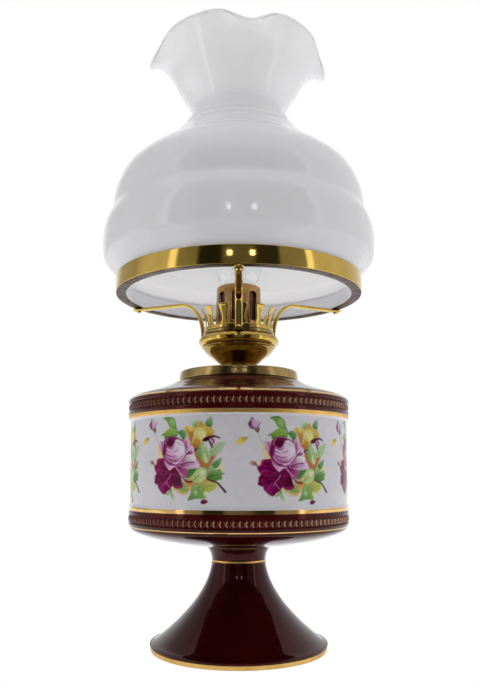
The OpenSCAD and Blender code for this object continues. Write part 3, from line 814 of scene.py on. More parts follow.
    # leaves round the rose
    c.leaf([(27, 188), (24.4, 184.6), (23, 180), (23.6, 175.8), (27, 172), (31.6, 169.8), (32.2, 175), (31.2, 181), (29.4, 185.4)],
           (92, 142, 66), (176, 194, 142), 8, [(28, 186.6), (29.4, 179), (31.6, 170.8)], (96, 92, 54), 4, vein_col=(198, 208, 158))
    c.shape([(28, 172.6), (31.4, 170.2), (31.8, 175), (29.6, 178), (28, 176)], (196, 200, 140), soft=0.9, alpha=0.7)
    c.leaf([(28.2, 185.4), (30.4, 184), (33, 181), (33.6, 175.4), (31.6, 173)], (150, 178, 118), (184, 198, 156), 30,
           [(31.8, 174), (31.4, 179), (29, 184.4)], (124, 118, 74), 3)
    c.leaf([(11, 158), (11.6, 161.6), (13.6, 165), (18.6, 165.8), (23, 165.4), (18.4, 161), (15, 158)], (78, 106, 34),
           (66, 116, 50), 60, [(12, 159), (16, 163), (21.6, 165)], (54, 88, 34), 3, vein_w=0.3)
    c.leaf([(15.6, 156.6), (18.4, 161), (22.4, 165.6), (27.6, 167), (31, 164.6), (31.4, 160), (29, 156), (25, 153.4), (20.6, 153.8)],
           (180, 180, 104), (172, 194, 134), 40, [(18.6, 156), (23.6, 159.6), (30, 164)], (92, 112, 62), 5,
           vein_col=(110, 132, 72), edge=(130, 158, 82), edge_w=1.3)
    c.shape([(24, 161), (27, 164.4), (29.6, 163), (27, 160)], (206, 214, 176), soft=0.9, alpha=0.8)
    c.leaf([(-12.4, 208.8), (-8, 210.2), (-4, 210.2), (0, 207.6), (1.8, 203.4), (1.8, 199.6), (0.4, 197), (-3, 199.6), (-6, 202),
            (-8.4, 206)], (104, 146, 60), (122, 160, 74), 50, [(-8.6, 208.2), (-3.6, 206), (-0.4, 200)], (78, 116, 46), 5,
           edge=(82, 120, 46), edge_w=1.1)
    c.shape([(-5.6, 206), (-2.4, 207.6), (-0.4, 204), (-2.4, 202.6)], (150, 182, 110), soft=1.0, alpha=0.65)
    c.shape([(-12.6, 208.9), (-8, 208.9), (-4.6, 209.2), (-4, 210.2), (-8, 210.3)], (74, 108, 42), soft=0.35, alpha=0.8)
    c.leaf([(-15.4, 194.2), (-11, 196.2), (-7, 199), (-3, 200.6), (0.6, 199), (3.4, 196), (2.4, 193.8), (-3, 192.4), (-8, 191.8),
            (-10.6, 191.2), (-11.2, 193.4)], (116, 146, 46), (132, 160, 62), 60, [(-13.6, 194), (-7, 195.6), (0, 197.6)],
           (82, 116, 34), 4, edge=(96, 132, 42), edge_w=0.9)
    c.shape([(-9.8, 190.6), (-11, 193.4), (-6, 193.6), (-1, 194.4), (3, 194.4), (3, 192.6), (-4, 191.6)], (64, 96, 34), soft=0.5,
            alpha=0.75)
    c.leaf([(3.6, 196), (6, 198.2), (9, 198.2), (11.6, 196.4), (12.4, 193), (10.8, 190), (8.8, 189.2), (6.8, 192)], (66, 118, 48),
           (98, 146, 72), 70, [(4.6, 196), (8.4, 194.8), (10, 190.6)], (50, 92, 38), 3)
    c.stroke([(1.2, 200.6), (2.8, 198.6), (3.2, 195.6)], 1.0, 0.7, (92, 52, 58), soft=0.3)

    # dark rose, lower left
    d0, d1, d2, d3 = (100, 14, 62), (74, 8, 45), (136, 36, 101), (173, 72, 140)
    c.shape([(-23.6, 167.6), (-20.6, 170), (-19.4, 173.6), (-15, 174.6), (-11, 174.6), (-7, 171), (-4, 167.6), (1, 168), (4, 164.4),
             (7, 160), (8.4, 154.6), (9.2, 150.6), (5, 148.8), (1, 149.2), (-1.4, 151), (-4, 148.2), (-7, 146.4), (-9.8, 143.8),
             (-13.4, 145), (-17, 148.2), (-18.4, 149.8), (-18.6, 151.4), (-23, 153.4), (-22.2, 156.6), (-21.8, 160),
             (-20.4, 161.6), (-22.6, 165)], d0, d0, 0, edge=(122, 27, 83), edge_w=1.2, grain=0.16)
    for q, k, al in (
        ([(-19, 173), (-14, 174), (-11.4, 172), (-12.6, 168.6), (-17, 168), (-20, 169.6)], (125, 25, 81), 0.8),
        ([(-18, 171.6), (-14, 172), (-12.6, 170), (-15, 168.8)], d1, 0.85),
        ([(-22.4, 165), (-18, 166.6), (-13, 165.6), (-14, 161.4), (-20, 161.4)], (127, 27, 83), 0.75),
        ([(-16.6, 165.4), (-11, 166.6), (-6, 164), (-6, 160), (-12, 161.4)], (85, 10, 51), 0.9),
        ([(-22, 160), (-18, 161.4), (-11, 159.4), (-9.4, 156), (-13, 153), (-19, 153.4), (-22.4, 154.4)], (89, 10, 53), 0.9),
        ([(-21.6, 157.4), (-18.4, 158.4), (-16.4, 156), (-19, 154.2)], (129, 31, 88), 0.55),
        ([(-17, 151.6), (-12, 153.4), (-8.6, 153.8), (-9, 149.6), (-12, 146.4), (-16.6, 149)], (122, 25, 88), 0.8),
        ([(-11, 149.4), (-8, 151.6), (-6, 148.6), (-9.6, 145)], (94, 12, 60), 0.8),
        ([(-4, 163), (0, 165), (4, 162), (6.8, 157.4), (7.6, 152.4), (3.6, 150), (-0.6, 152.4), (-4.6, 155.4), (-5.4, 159.4)],
         (87, 10, 53), 0.95),
        ([(2.2, 158), (5.4, 158.6), (7, 154.4), (4.6, 151.4), (1.6, 153.6)], (67, 6, 40), 0.8),
        ([(-2, 161.4), (1, 163), (3.2, 160.4), (0, 158.6)], (120, 25, 79), 0.6),
        ([(1, 151), (5, 151.6), (8.4, 151.4), (6.4, 149.4), (2.4, 149.4)], (131, 32, 94), 0.65),
    ):
        c.shape(q, k, soft=0.8, alpha=al, grain=0.16)
    for q, w0, w1, k, al in (
        ([(-20, 163.4), (-16.6, 165.2), (-12, 163.8), (-7, 162.8)], 0.7, 0.4, d3, 0.45),
        ([(-17.6, 160), (-12, 161), (-6.6, 162)], 0.5, 0.4, (158, 59, 122), 0.4),
        ([(-3.4, 161.4), (-4.6, 158.8), (-8, 155.2), (-9.6, 152.6)], 0.7, 0.5, (202, 105, 170), 0.75),
        ([(-8.2, 154.4), (-6.2, 152), (-4.2, 150)], 0.6, 0.4, (208, 112, 178), 0.8),
        ([(-10.6, 155), (-13.4, 151.4), (-15, 149.6)], 0.8, 0.4, (164, 61, 124), 0.55),
        ([(-4, 156), (-1.4, 153.4), (1, 151.4)], 0.4, 0.3, (140, 46, 103), 0.6),
        ([(-21.6, 168), (-18.8, 171), (-18.4, 173.4)], 0.5, 0.3, (162, 63, 127), 0.5),
        ([(-22.6, 153.6), (-18.6, 152.6), (-14.4, 154)], 0.5, 0.3, (169, 70, 133), 0.45),
        ([(-17.4, 149.6), (-12, 146.6), (-9.6, 144.6)], 0.6, 0.3, (160, 53, 118), 0.5),
        ([(-14.6, 157.4), (-11.6, 158.6), (-9, 157)], 0.4, 0.3, (142, 48, 105), 0.6),
    ):
        c.stroke(q, w0, w1, k, soft=0.4, alpha=al)

    # pink rose
    p_hi, p_lt, p_md, p_mg, p_dk, p_dd = (216, 196, 214), (194, 152, 186), (164, 98, 146), (132, 50, 104), (98, 18, 66), (72, 6, 42)
    c.shape([(-16.6, 189), (-12.4, 188.4), (-10, 191), (-5, 192.8), (0, 192.6), (5, 191.4), (9, 189), (11.4, 191.6), (12.8, 193.2),
             (14.4, 190.6), (15.8, 186.6), (16.2, 183.2), (18.2, 184), (19.4, 180.6), (19.8, 176.8), (21.4, 173), (24.6, 168.4),
             (22, 166.6), (17, 165.8), (13, 165), (12.4, 161.4), (11.4, 158), (8, 160.2), (5, 163.2), (2, 166.6), (-1, 167),
             (-4, 164.2), (-7, 166.4), (-9.8, 169.8), (-11, 174), (-12.8, 177), (-14.2, 180.4), (-16.4, 184)], p_mg, p_md, 0,
            grain=0.12)
    c.shape([(-16.8, 189.2), (-13.6, 188.8), (-11, 187.6), (-11.6, 183.6), (-13, 180.4), (-15.6, 183.2), (-16.6, 186)],
            (198, 160, 190), p_md, 0, edge=(176, 122, 166), edge_w=0.8)
    c.stroke([(-14.4, 188.4), (-13, 185), (-12.6, 181.4)], 1.2, 1.0, p_mg, soft=0.6, alpha=0.8)
    # right back petals
    c.shape([(10, 189.8), (12.8, 193.4), (14.6, 190.4), (16, 186), (15.8, 182.8), (12.6, 180), (10.6, 184)], p_md, (200, 166, 196),
            25, edge=(198, 158, 190), edge_w=0.8)
    c.shape([(10.4, 188.4), (12.6, 188.6), (13, 184), (11.8, 181.4), (10.4, 184.6)], p_mg, p_md, 20, soft=0.7, alpha=0.85)
    c.shape([(12, 180.6), (15, 184.6), (18.4, 184.2), (19.6, 180), (19.8, 176.4), (16.4, 175), (12.4, 177)], p_mg,
            (206, 176, 202), 15, edge=(196, 160, 192), edge_w=0.7)
    c.stroke([(12.6, 179.6), (15.4, 182.4), (16.4, 184)], 1.0, 0.6, (212, 188, 210), soft=0.4, alpha=0.85)
    c.shape([(12.4, 178.4), (16.4, 180.4), (18.4, 179.4), (16.4, 177.4)], p_dk, p_mg, 0, soft=0.6, alpha=0.85)
    # great right petal
    c.shape([(6, 169.8), (8.4, 173.6), (12, 176.8), (16, 177.4), (19.8, 176.6), (21.2, 173.2), (19, 171), (12, 170.2)], p_md, p_hi,
            35, edge=(204, 174, 204), edge_w=0.8)
    c.shape([(8, 172), (11, 174.6), (14.6, 173.6), (12, 171)], p_mg, p_lt, 20, soft=0.7, alpha=0.75)
    c.shape([(5, 169.2), (11, 171.2), (18, 171.8), (21.4, 172.6), (24.8, 168.4), (22, 166.4), (15, 165.6), (8, 165.4)], p_mg,
            (206, 170, 204), 8, edge=(188, 142, 184), edge_w=0.7)
    c.stroke([(6.4, 169), (11, 170.2), (14.6, 171), (19, 171)], 0.8, 1.1, p_dk, soft=0.35, alpha=0.95)
    c.stroke([(7, 168), (13, 168.4), (20, 169.4)], 0.9, 0.5, p_mg, soft=0.6, alpha=0.5)
    c.stroke([(9, 166.4), (15, 167), (21, 168.2)], 0.7, 0.5, (212, 184, 212), soft=0.5, alpha=0.6)
    c.shape([(2.4, 167.4), (6, 167), (12.6, 165.2), (12.8, 162), (11.4, 158.2), (8, 160.2), (4.6, 163.6)], p_dk, (158, 60, 122),
            -20, edge=(150, 62, 120), edge_w=0.8)
    c.stroke([(2.6, 166), (6, 162.6), (9.6, 159.4)], 1.0, 0.7, (190, 128, 166), soft=0.4, alpha=0.9)
    # left dark side and the bowl
    c.shape([(-12.6, 182), (-11.4, 187), (-9, 190), (-6.6, 187), (-8, 181), (-8.4, 175), (-6, 171.6), (-9, 171), (-11.6, 175.4),
             (-13, 178.6)], p_dk, p_mg, -10, soft=0.7)
    c.shape([(-10, 188), (-8, 191.6), (-3, 192.8), (2, 192.2), (6.6, 190.6), (9, 188.6), (7, 187.6), (2, 190), (0, 187), (-2, 184),
             (-6, 184.4), (-8.6, 186)], p_dk, (116, 38, 86), 0, soft=0.45, edge=(136, 56, 108), edge_w=0.7)
    c.shape([(-7.2, 189.6), (-3.6, 190.8), (-0.6, 189.4), (-0.6, 186), (-2.8, 184), (-6, 185), (-7.6, 187.2)], (74, 4, 42),
            soft=0.7)
    c.stroke([(-9.4, 186.4), (-8.6, 189.4), (-6.6, 191.4)], 0.8, 0.5, (168, 106, 150), soft=0.4, alpha=0.8)
    # ball of pale petals
    c.shape([(-7.6, 184.6), (-5, 183), (-2, 184.4), (0, 187.4), (2.4, 189.8), (5, 188.6), (8, 187), (10.4, 184.4), (11.2, 181),
             (10.2, 177.4), (7, 174.6), (3, 172.6), (-2, 172.6), (-6, 174.4), (-8.6, 178)], p_md, (208, 184, 208), 20, soft=0.5)
    c.shape([(0.4, 186.4), (3, 187.8), (6.4, 186.8), (9.4, 184.6), (10.4, 181), (9.2, 177.6), (6, 176), (3, 177.4), (1, 181)],
            (196, 168, 200), (218, 206, 222), 25, edge=(200, 172, 200), edge_w=0.8)
    c.shape([(1, 189), (3.4, 190.4), (7, 189), (10, 186.8), (9.4, 185.8), (5.6, 187.6), (2, 188)], (220, 196, 218),
            (204, 166, 198), -30, soft=0.4)
    c.stroke([(1, 188.4), (4, 187.4), (6.4, 185.4)], 0.5, 0.6, (126, 60, 112), soft=0.3, alpha=0.75)
    c.stroke([(5.2, 186), (7, 185), (9.2, 185.4)], 0.4, 0.4, (140, 84, 136), soft=0.3, alpha=0.6)
    c.stroke([(-7.4, 182.4), (-4, 180.8), (-0.6, 181.4), (1.4, 184.4)], 1.3, 0.8, (212, 182, 208), soft=0.45, alpha=0.95)
    c.stroke([(-7.2, 183.8), (-4, 182.4), (-1.2, 183.2), (0, 185.4)], 0.7, 0.6, p_mg, soft=0.4, alpha=0.85)
    c.stroke([(-8, 181), (-4, 179.2), (0, 179.6), (3, 181.4)], 0.9, 0.5, p_mg, soft=0.4, alpha=0.8)
    c.stroke([(-7.4, 179.4), (-2, 177.6), (2, 178), (6, 176.4)], 1.5, 0.8, (202, 166, 198), soft=0.45, alpha=0.95)
    c.stroke([(-4, 179.6), (1, 178.8), (5, 176)], 0.6, 0.9, (216, 190, 212), soft=0.35, alpha=0.9)
    c.stroke([(-7.6, 177.4), (-3, 175.8), (2, 176.2)], 0.9, 0.5, p_mg, soft=0.45, alpha=0.8)
    c.stroke([(-6.4, 175.4), (-2, 174), (3, 174.8)], 1.3, 0.8, (180, 124, 172), soft=0.5, alpha=0.85)
    c.stroke([(-5.4, 173.8), (-1, 172.6), (3, 173.2)], 0.7, 0.6, p_dk, soft=0.4, alpha=0.8)
    c.stroke([(2.6, 183.6), (3.4, 180.8), (2, 178.6)], 0.5, 0.4, (164, 118, 166), soft=0.35, alpha=0.6)
    c.stroke([(-3, 182.2), (-0.6, 180.4), (2.6, 180.2), (4, 182)], 0.35, 0.4, (150, 84, 140), soft=0.3, alpha=0.7)
    c.stroke([(10.8, 184.2), (11.6, 181), (10.6, 177.6), (8.4, 175.4)], 0.7, 1.2, p_dk, soft=0.4, alpha=0.7)
    # front rolled petals
    c.shape([(-9.6, 178), (-8, 174.4), (-4, 171.6), (0, 170.6), (4, 171.4), (8, 174.4), (6, 170.6), (1, 168.8), (-5, 169.4),
             (-9, 172)], p_mg, p_md, 20, soft=0.5, edge=p_dk, edge_w=0.5)
    c.stroke([(-9.4, 176.8), (-7.4, 173.6), (-4, 171.6), (-0.6, 171)], 1.0, 0.5, (196, 148, 188), soft=0.45, alpha=0.85)
    c.stroke([(-0.6, 169.8), (4, 170.8), (8.4, 174.4), (11.2, 178.4)], 1.7, 1.0, (208, 174, 204), soft=0.4, alpha=0.95)
    c.stroke([(1, 171.4), (4.6, 172.8), (7.6, 176)], 0.6, 0.5, p_mg, soft=0.35, alpha=0.8)
    c.stroke([(5, 170), (9, 173.6), (12.4, 177.4)], 0.7, 1.1, p_dk, soft=0.4, alpha=0.85)
    c.shape([(-7, 170.6), (-2, 170), (3, 169), (4, 167.6), (0, 167.8), (-5, 168.4)], p_dk, p_mg, 10, soft=0.6, alpha=0.9)
    c.shape([(-11, 174.2), (-9.6, 171.6), (-5, 168.8), (0, 168), (3, 167.4), (-1, 166.6), (-4.4, 164.2), (-7, 166.2), (-9.8, 169.6)],
            p_md, (204, 160, 196), -50, edge=(202, 160, 194), edge_w=0.7)
    c.stroke([(-9.6, 172.4), (-6, 169.6), (-2, 168.4)], 0.8, 0.5, p_mg, soft=0.5, alpha=0.6)
    c.stroke([(3.4, 169.2), (4.6, 167.6), (7, 166)], 1.0, 0.6, p_dd, soft=0.45, alpha=0.85)

    # stems
    stem = (74, 40, 42)
    c.stroke([(8, 159.4), (10.4, 156.8), (13.6, 154.8), (17.4, 154.9)], 1.3, 1.7, stem, soft=0.35)
    c.stroke([(30.6, 158.2), (33, 156.2), (36.4, 155.2), (40, 153.8), (43.4, 150.2), (46.6, 146.6)], 1.2, 2.0, (72, 42, 44),
             soft=0.35)
    c.stroke([(20.2, 180.8), (21.8, 181.8), (23.4, 182.6)], 1.7, 1.0, (52, 48, 32), soft=0.4)
    c.stroke([(31.4, 170.4), (31.8, 165), (30.6, 160), (30.8, 156.4)], 0.9, 0.8, (152, 112, 78), soft=0.4, alpha=0.9)
    c.stroke([(26.4, 146), (25.4, 142.4), (26.4, 139.8)], 0.8, 0.7, (112, 140, 72), soft=0.35)
    c.shape([(26, 142), (28.4, 144.6), (30.6, 142.4), (28, 140.6)], (98, 138, 78), (140, 168, 108), 50, soft=0.4)
    c.shape([(25.4, 137.4), (26.4, 139.6), (29, 140.4), (32, 139), (30.4, 137.2), (28, 136.4)], (78, 14, 44), (118, 44, 78), 10,
            soft=0.4)
    c.stroke([(-4.6, 149), (-3.4, 147.6), (-2.8, 146)], 0.9, 0.6, (60, 40, 34), soft=0.35)
    c.stroke([(-27.4, 172.4), (-24.4, 170.4), (-22, 166.6)], 1.2, 0.9, (92, 44, 60), soft=0.4)
    c.shape([(-30.6, 171.4), (-27, 172.8), (-24.2, 171.4), (-24.8, 169.2), (-27.4, 169.4)], (178, 140, 142), (112, 60, 72), -10,
            soft=0.6, alpha=0.9)

    # bud, upper left
    c.shape([(-30.8, 203.8), (-29.4, 206.6), (-27.6, 209.4), (-25.4, 206.8), (-23.2, 204.8), (-23.2, 201.4), (-25, 199.6),
             (-28, 200.4), (-30, 201.8)], (88, 18, 72), (196, 152, 194), -8, edge=(104, 32, 86), edge_w=0.6)
    c.shape([(-27.8, 207.6), (-26.2, 206), (-24.6, 203), (-25.4, 201.4), (-27, 203.6)], (204, 170, 204), (180, 122, 178), -60,
            soft=0.5, alpha=0.9)
    c.stroke([(-30.6, 203.6), (-28.6, 201), (-25.4, 199.6)], 1.2, 1.4, (78, 14, 60), soft=0.4)
    c.shape([(-26.6, 200), (-24, 200.8), (-21.4, 200.4), (-21.2, 198.6), (-22.8, 196.2), (-24.8, 197.6)], (140, 100, 92),
            (108, 62, 66), -70, soft=0.5)
    c.stroke([(-30.6, 200.4), (-27.4, 199.6), (-24.6, 198)], 0.5, 0.8, (112, 116, 88), soft=0.3, alpha=0.9)
    c.stroke([(-22.6, 200.6), (-21.8, 203), (-19.6, 205.4)], 1.0, 0.4, (104, 72, 72), soft=0.4)
    c.stroke([(-22, 203.2), (-22.2, 205.4), (-22.8, 207)], 0.8, 0.3, (120, 104, 92), soft=0.4, alpha=0.8)
    c.stroke([(-22.8, 196.6), (-20.6, 191.6), (-17.4, 186.6)], 0.6, 0.6, (134, 150, 108), (158, 170, 110), soft=0.35, alpha=0.9)

    # yellow bud, far left
    c.shape([(-41.4, 188.2), (-38.6, 191.2), (-34.4, 192.6), (-31, 192.2), (-33, 189.6), (-36, 187.2), (-39.4, 186.2)],
            (204, 182, 96), (186, 158, 54), 30, edge=(196, 168, 74), edge_w=0.8, soft=0.5)
    c.stroke([(-38, 191.4), (-34.4, 192.4), (-31.2, 192.2)], 0.5, 0.9, (138, 116, 60), soft=0.35, alpha=0.9)
    c.stroke([(-35.6, 190.6), (-33, 190.8), (-31.4, 191.8)], 0.4, 0.7, (146, 124, 60), soft=0.35, alpha=0.8)
    c.stroke([(-31, 191.8), (-26, 190.2), (-22, 187.4), (-19, 185.8)], 0.5, 0.5, (192, 196, 160), (176, 182, 116), soft=0.35,
             alpha=0.7)
    return c


SPRAYS = (21.5, 74.6, 127.6, 174.9, 222.1, 275.1, 328.1)


def rose_band():
    z0, z1, cols, rows = 135.0, 210.6, 1260, 146
    a = np.linspace(0, 2 * np.pi, cols, endpoint=False)
    z = np.linspace(z0, z1, rows)
    A, Z = np.meshgrid(a, z)
    v = np.stack([DR * np.cos(A), DR * np.sin(A), Z], -1).reshape(-1, 3) * MM
    rgb = np.broadcast_to(GROUND, A.shape + (3,)).copy()
    tone = 0.012 * np.sin(3 * A + 1) * np.sin(Z / 19.0) + 0.008 * np.sin(11 * A + Z / 7.0)
    rgb *= 1 + tone[..., None]
    c = spray()
    for k, s in enumerate(SPRAYS):
        # azimuth s is measured from the front (-Y) towards +X
        off = (np.degrees(A) - 270.0 - s + 180) % 360 - 180
        U = np.radians(off) * DR
        V = Z - (0.0, 0.3, -0.4, 0.2, 0.5, -0.2, 1.0)[k]
        x = (U - c.u0) / c.h
        y = (V - c.v0) / c.h
        ok = (x >= 0) & (x < c.U.shape[1] - 1) & (y >= 0) & (y < c.U.shape[0] - 1)
        xi, yi = np.clip(np.floor(x).astype(int), 0, c.U.shape[1] - 2), np.clip(np.floor(y).astype(int), 0, c.U.shape[0] - 2)
        fx, fy = np.clip(x - xi, 0, 1)[..., None], np.clip(y - yi, 0, 1)[..., None]
        pre = np.concatenate([c.rgb * c.a[..., None], c.a[..., None]], -1)
        s4 = (pre[yi, xi] * (1 - fx) + pre[yi, xi + 1] * fx) * (1 - fy) + (
            pre[yi + 1, xi] * (1 - fx) + pre[yi + 1, xi + 1] * fx) * fy
        s4 = s4 * ok[..., None]
        rgb = rgb * (1 - s4[..., 3:]) + s4[..., :3]
    return new_object("rose_band", v, grid_faces(rows, cols), True, [M["painted"]], colors={"paint": rgb.reshape(-1, 3)})


put(fix_normals(rose_band()), "base", "painted_ceramic", "font")

# ---------------------------------------------------------------- brass on the font
collar_prof = join(
    [(57.5, 251)], spline([(57.4, 252.6), (57.1, 256), (56.7, 258.2)], 3), arc(55.2, 258.6, 1.5, 10, 80, 7),
    [(53.2, 260.4), (40, 261.3), (22, 262.2), (5.1, 262.2), (5.1, 260.8), (22, 260.8), (40, 259.9), (53.4, 259.1),
     (55.6, 257.4), (56, 253), (56, 251)])
put(fix_normals(lathe("collar_cap", collar_prof, 256, [M["brass_aged"]], closed=True)), "base", "brass", "collar")

bowl_out = spline([(18.4, 262.3), (18.4, 263.2), (17.3, 265.2), (18.2, 268), (21, 270.4), (24.4, 273.4), (28.2, 276.2),
                   (31.3, 279), (33.6, 281.8), (34.6, 283.4), (35.4, 284.0)], 5)
bowl_prof = join(bowl_out, [(35.7, 284.5), (35.5, 285.2), (32.6, 285.4), (32.4, 283.0), (30.0, 279.8), (27.0, 277.2),
                            (23.2, 274.4), (19.8, 271.4), (16.9, 268.6), (15.9, 265.2), (15.8, 263.8), (5.1, 263.8),
                            (5.1, 262.2)])
put(fix_normals(lathe("burner_bowl_turned", bowl_prof, 192, [M["brass_bowl"]], closed=True)), "base", "brass", "burner_bowl")

bead_prof = join(arc(34.1, 290.4, 4.9, -72, 112, 33), [(32.5, 293.4), (32.5, 291), (5.1, 291), (5.1, 289), (29, 289),
                                                      (31, 286.6), (34.4, 285.9)])
put(fix_normals(lathe("burner_bead", bead_prof, 192, [M["brass"]], closed=True)), "base", "brass", "bead_ring")


# ---------------------------------------------------------------- crown
def strip(name, path, width_fn, thick, az, mats, sec=10, power=2.6, bulge=0.0):
    """A bent strip of metal in the plane of azimuth az. path rows are (r, z) in mm, and its section is a rounded
    rectangle whose width follows width_fn(t)."""
    p = np.array(path, float)
    n = len(p)
    t = np.gradient(p, axis=0)
    t /= np.linalg.norm(t, axis=1)[:, None]
    nrm = np.stack([t[:, 1], -t[:, 0]], 1)
    a = np.radians(np.linspace(0, 360, sec * 4, endpoint=False))
    cs = np.sign(np.cos(a)) * np.abs(np.cos(a)) ** (2 / power)
    sn = np.sign(np.sin(a)) * np.abs(np.sin(a)) ** (2 / power)
    ca, sa = math.cos(math.radians(az)), math.sin(math.radians(az))
    verts = []
    L = np.concatenate([[0], np.cumsum(np.linalg.norm(np.diff(p, axis=0), axis=1))])
    L /= L[-1]
    for i in range(n):
        w = width_fn(L[i])
        th = thick(L[i]) if callable(thick) else thick
        y = cs * w / 2
        d = sn * th / 2
        rr = p[i, 0] + nrm[i, 0] * d
        zz = p[i, 1] + nrm[i, 1] * d
        x = rr * ca - y * sa
        yy = rr * sa + y * ca
        verts += np.stack([x, yy, zz], 1).tolist()
    m = len(a)
    faces = grid_faces(n, m)
    c0 = len(verts)
    verts.append(np.mean(verts[:m], 0).tolist())
    verts.append(np.mean(verts[(n - 1) * m : n * m], 0).tolist())
    for j in range(m):
        faces.append((c0, (j + 1) % m, j))
        faces.append((c0 + 1, (n - 1) * m + j, (n - 1) * m + (j + 1) % m))
    return np.array(verts), faces


def merge(name, parts, mats, slots=None):
    vs, fs, fm, o = [], [], [], 0
    for k, (v, f) in enumerate(parts):
        vs.append(np.asarray(v, float))
        fs += [tuple(i + o for i in q) for q in f]
        fm += [slots[k] if slots else 0] * len(f)
        o += len(v)
    return new_object(name, np.concatenate(vs) * MM, fs, True, mats, fm)


def lathe_raw(prof, seg, closed=True):
    prof = np.array(prof, float)
    a = np.linspace(0, 2 * np.pi, seg, endpoint=False)
    v = np.stack([prof[:, 0][:, None] * np.cos(a), prof[:, 0][:, None] * np.sin(a),
                  prof[:, 1][:, None] * np.ones_like(a)], -1).reshape(-1, 3)
    return v, grid_faces(len(prof), seg, True, closed)


def interp_fn(ts, ws):
    return lambda t: float(np.interp(t, ts, ws))


crown_parts = [lathe_raw(join([(30.6, 291), (32.4, 291), (32.4, 299.2), (33.0, 299.4)], arc(32.9, 300.2, 0.8, -80, 0, 5),
                              arc(32.9, 302.6, 0.8, 0, 90, 5), [(32.4, 303.3), (31.2, 303.4), (30.6, 303)]), 192)]
prong_path = spline([(31.7, 301.0), (31.7, 304), (31.9, 308), (32.5, 312), (33.4, 316), (34.6, 319.4), (35.5, 321.2),
                     (36.3, 321.9), (37.0, 321.6)], 5)
pw = interp_fn([0, 0.09, 0.16, 0.26, 0.38, 0.52, 0.66, 0.80, 0.90, 0.96, 1.0],
               [10.4, 9.4, 7.6, 6.2, 5.6, 6.2, 7.8, 9.4, 9.6, 9.3, 8.2])
for i in range(12):
    crown_parts.append(strip("p", prong_path, pw, 1.2, 275.5 + 30 * i, None, sec=7, power=3.2))
put(fix_normals(merge("burner_crown", crown_parts, [M["brass"]])), "base", "brass", "crown")


# ---------------------------------------------------------------- lampholder sleeve
def sleeve():
    """A slightly conical brass sleeve with eight arched slots, cut through its wall."""
    out = spline([(22.8, 295.9), (22.7, 303), (22.6, 310), (22.2, 325), (21.7, 336), (21.5, 340)], 6)
    out = join(out, arc(18.9, 342.2, 2.7, 0, 84, 8), [(18.8, 344.9)])
    seg = 8 * 36
    a = np.linspace(0, 2 * np.pi, seg, endpoint=False)
    verts, keep = [], []
    zs = out[:, 1]
    R = out[:, 0]
    # regular rows every 0.6 mm on the straight part, so that the slot's edge is fine
    zz = np.concatenate([np.arange(295.9, 340.0, 0.6), zs[zs >= 340.0]])
    rr = np.interp(zz, zs, R)
    rr[-1] = 18.7
    n = len(zz)
    A, Z = np.meshgrid(a, zz)
    RR = np.broadcast_to(rr[:, None], A.shape)
    off = (np.degrees(A) - 265.0 + 22.5) % 45.0 - 22.5
    half_w, z_lo, z_hi = 4.75, 309.0, 333.0
    w = np.clip((Z - z_hi) / half_w, 0, 1)
    half_here = np.where(Z < z_hi, half_w, half_w * np.sqrt(np.clip(1 - w * w, 0, 1)))
    half_here = np.where(Z < z_lo, 0, half_here)
    s = np.radians(np.abs(off)) * RR
    inside = s < half_here
    v_out = np.stack([RR * np.cos(A), RR * np.sin(A), Z], -1).reshape(-1, 3)
    v_in = np.stack([(RR - 1.0) * np.cos(A), (RR - 1.0) * np.sin(A), np.minimum(Z, 343.2)], -1).reshape(-1, 3)
    N = n * seg
    ins = inside.reshape(-1).astype(int)
    faces = []
    open_cell = np.zeros((n - 1, seg), bool)
    for i in range(n - 1):
        for j in range(seg):
            j2 = (j + 1) % seg
            if ins[i * seg + j] + ins[i * seg + j2] + ins[(i + 1) * seg + j] + ins[(i + 1) * seg + j2] >= 3:
                open_cell[i, j] = True
    for i in range(n - 1):
        for j in range(seg):
            if open_cell[i, j]:
                continue
            j2 = (j + 1) % seg
            q = (i * seg + j, i * seg + j2, (i + 1) * seg + j2, (i + 1) * seg + j)
            faces.append(q)
            faces.append(tuple(k + N for k in q[::-1]))
            if open_cell[i, j2]:
                faces.append((q[1], q[1] + N, q[2] + N, q[2]))
            if open_cell[i, (j - 1) % seg]:
                faces.append((q[3], q[3] + N, q[0] + N, q[0]))
            if i + 1 < n - 1 and open_cell[i + 1, j]:
                faces.append((q[2], q[2] + N, q[3] + N, q[3]))
            if i > 0 and open_cell[i - 1, j]:
                faces.append((q[0], q[0] + N, q[1] + N, q[1]))
    for j in range(seg):
        j2 = (j + 1) % seg
        t = (n - 1) * seg
        faces.append((t + j, t + j2, t + j2 + N, t + j + N))
        faces.append((j2, j, j + N, j2 + N))
    import bmesh
    ob = new_object("lampholder_sleeve_slotted", np.concatenate([v_out, v_in]) * MM, faces, True, [M["brass_dark"]])
    bm = bmesh.new()
    bm.from_mesh(ob.data)
    loose = [v for v in bm.verts if not v.link_faces]
    bmesh.ops.delete(bm, geom=loose, context="VERTS")
    # soften the stair steps along the slot edges
    edge_v = [v for v in bm.verts if any(abs(e.calc_face_angle(0)) > 0.9 for e in v.link_edges)
              and 307.5 * MM < v.co.z < 340.5 * MM]
    for _ in range(6):
        bmesh.ops.smooth_vert(bm, verts=edge_v, factor=0.5, use_axis_x=True, use_axis_y=True, use_axis_z=True)
    bmesh.ops.recalc_face_normals(bm, faces=bm.faces)
    bm.to_mesh(ob.data)
    bm.free()
    return ob


put(sleeve(), "base", "brass", "lampholder_sleeve")

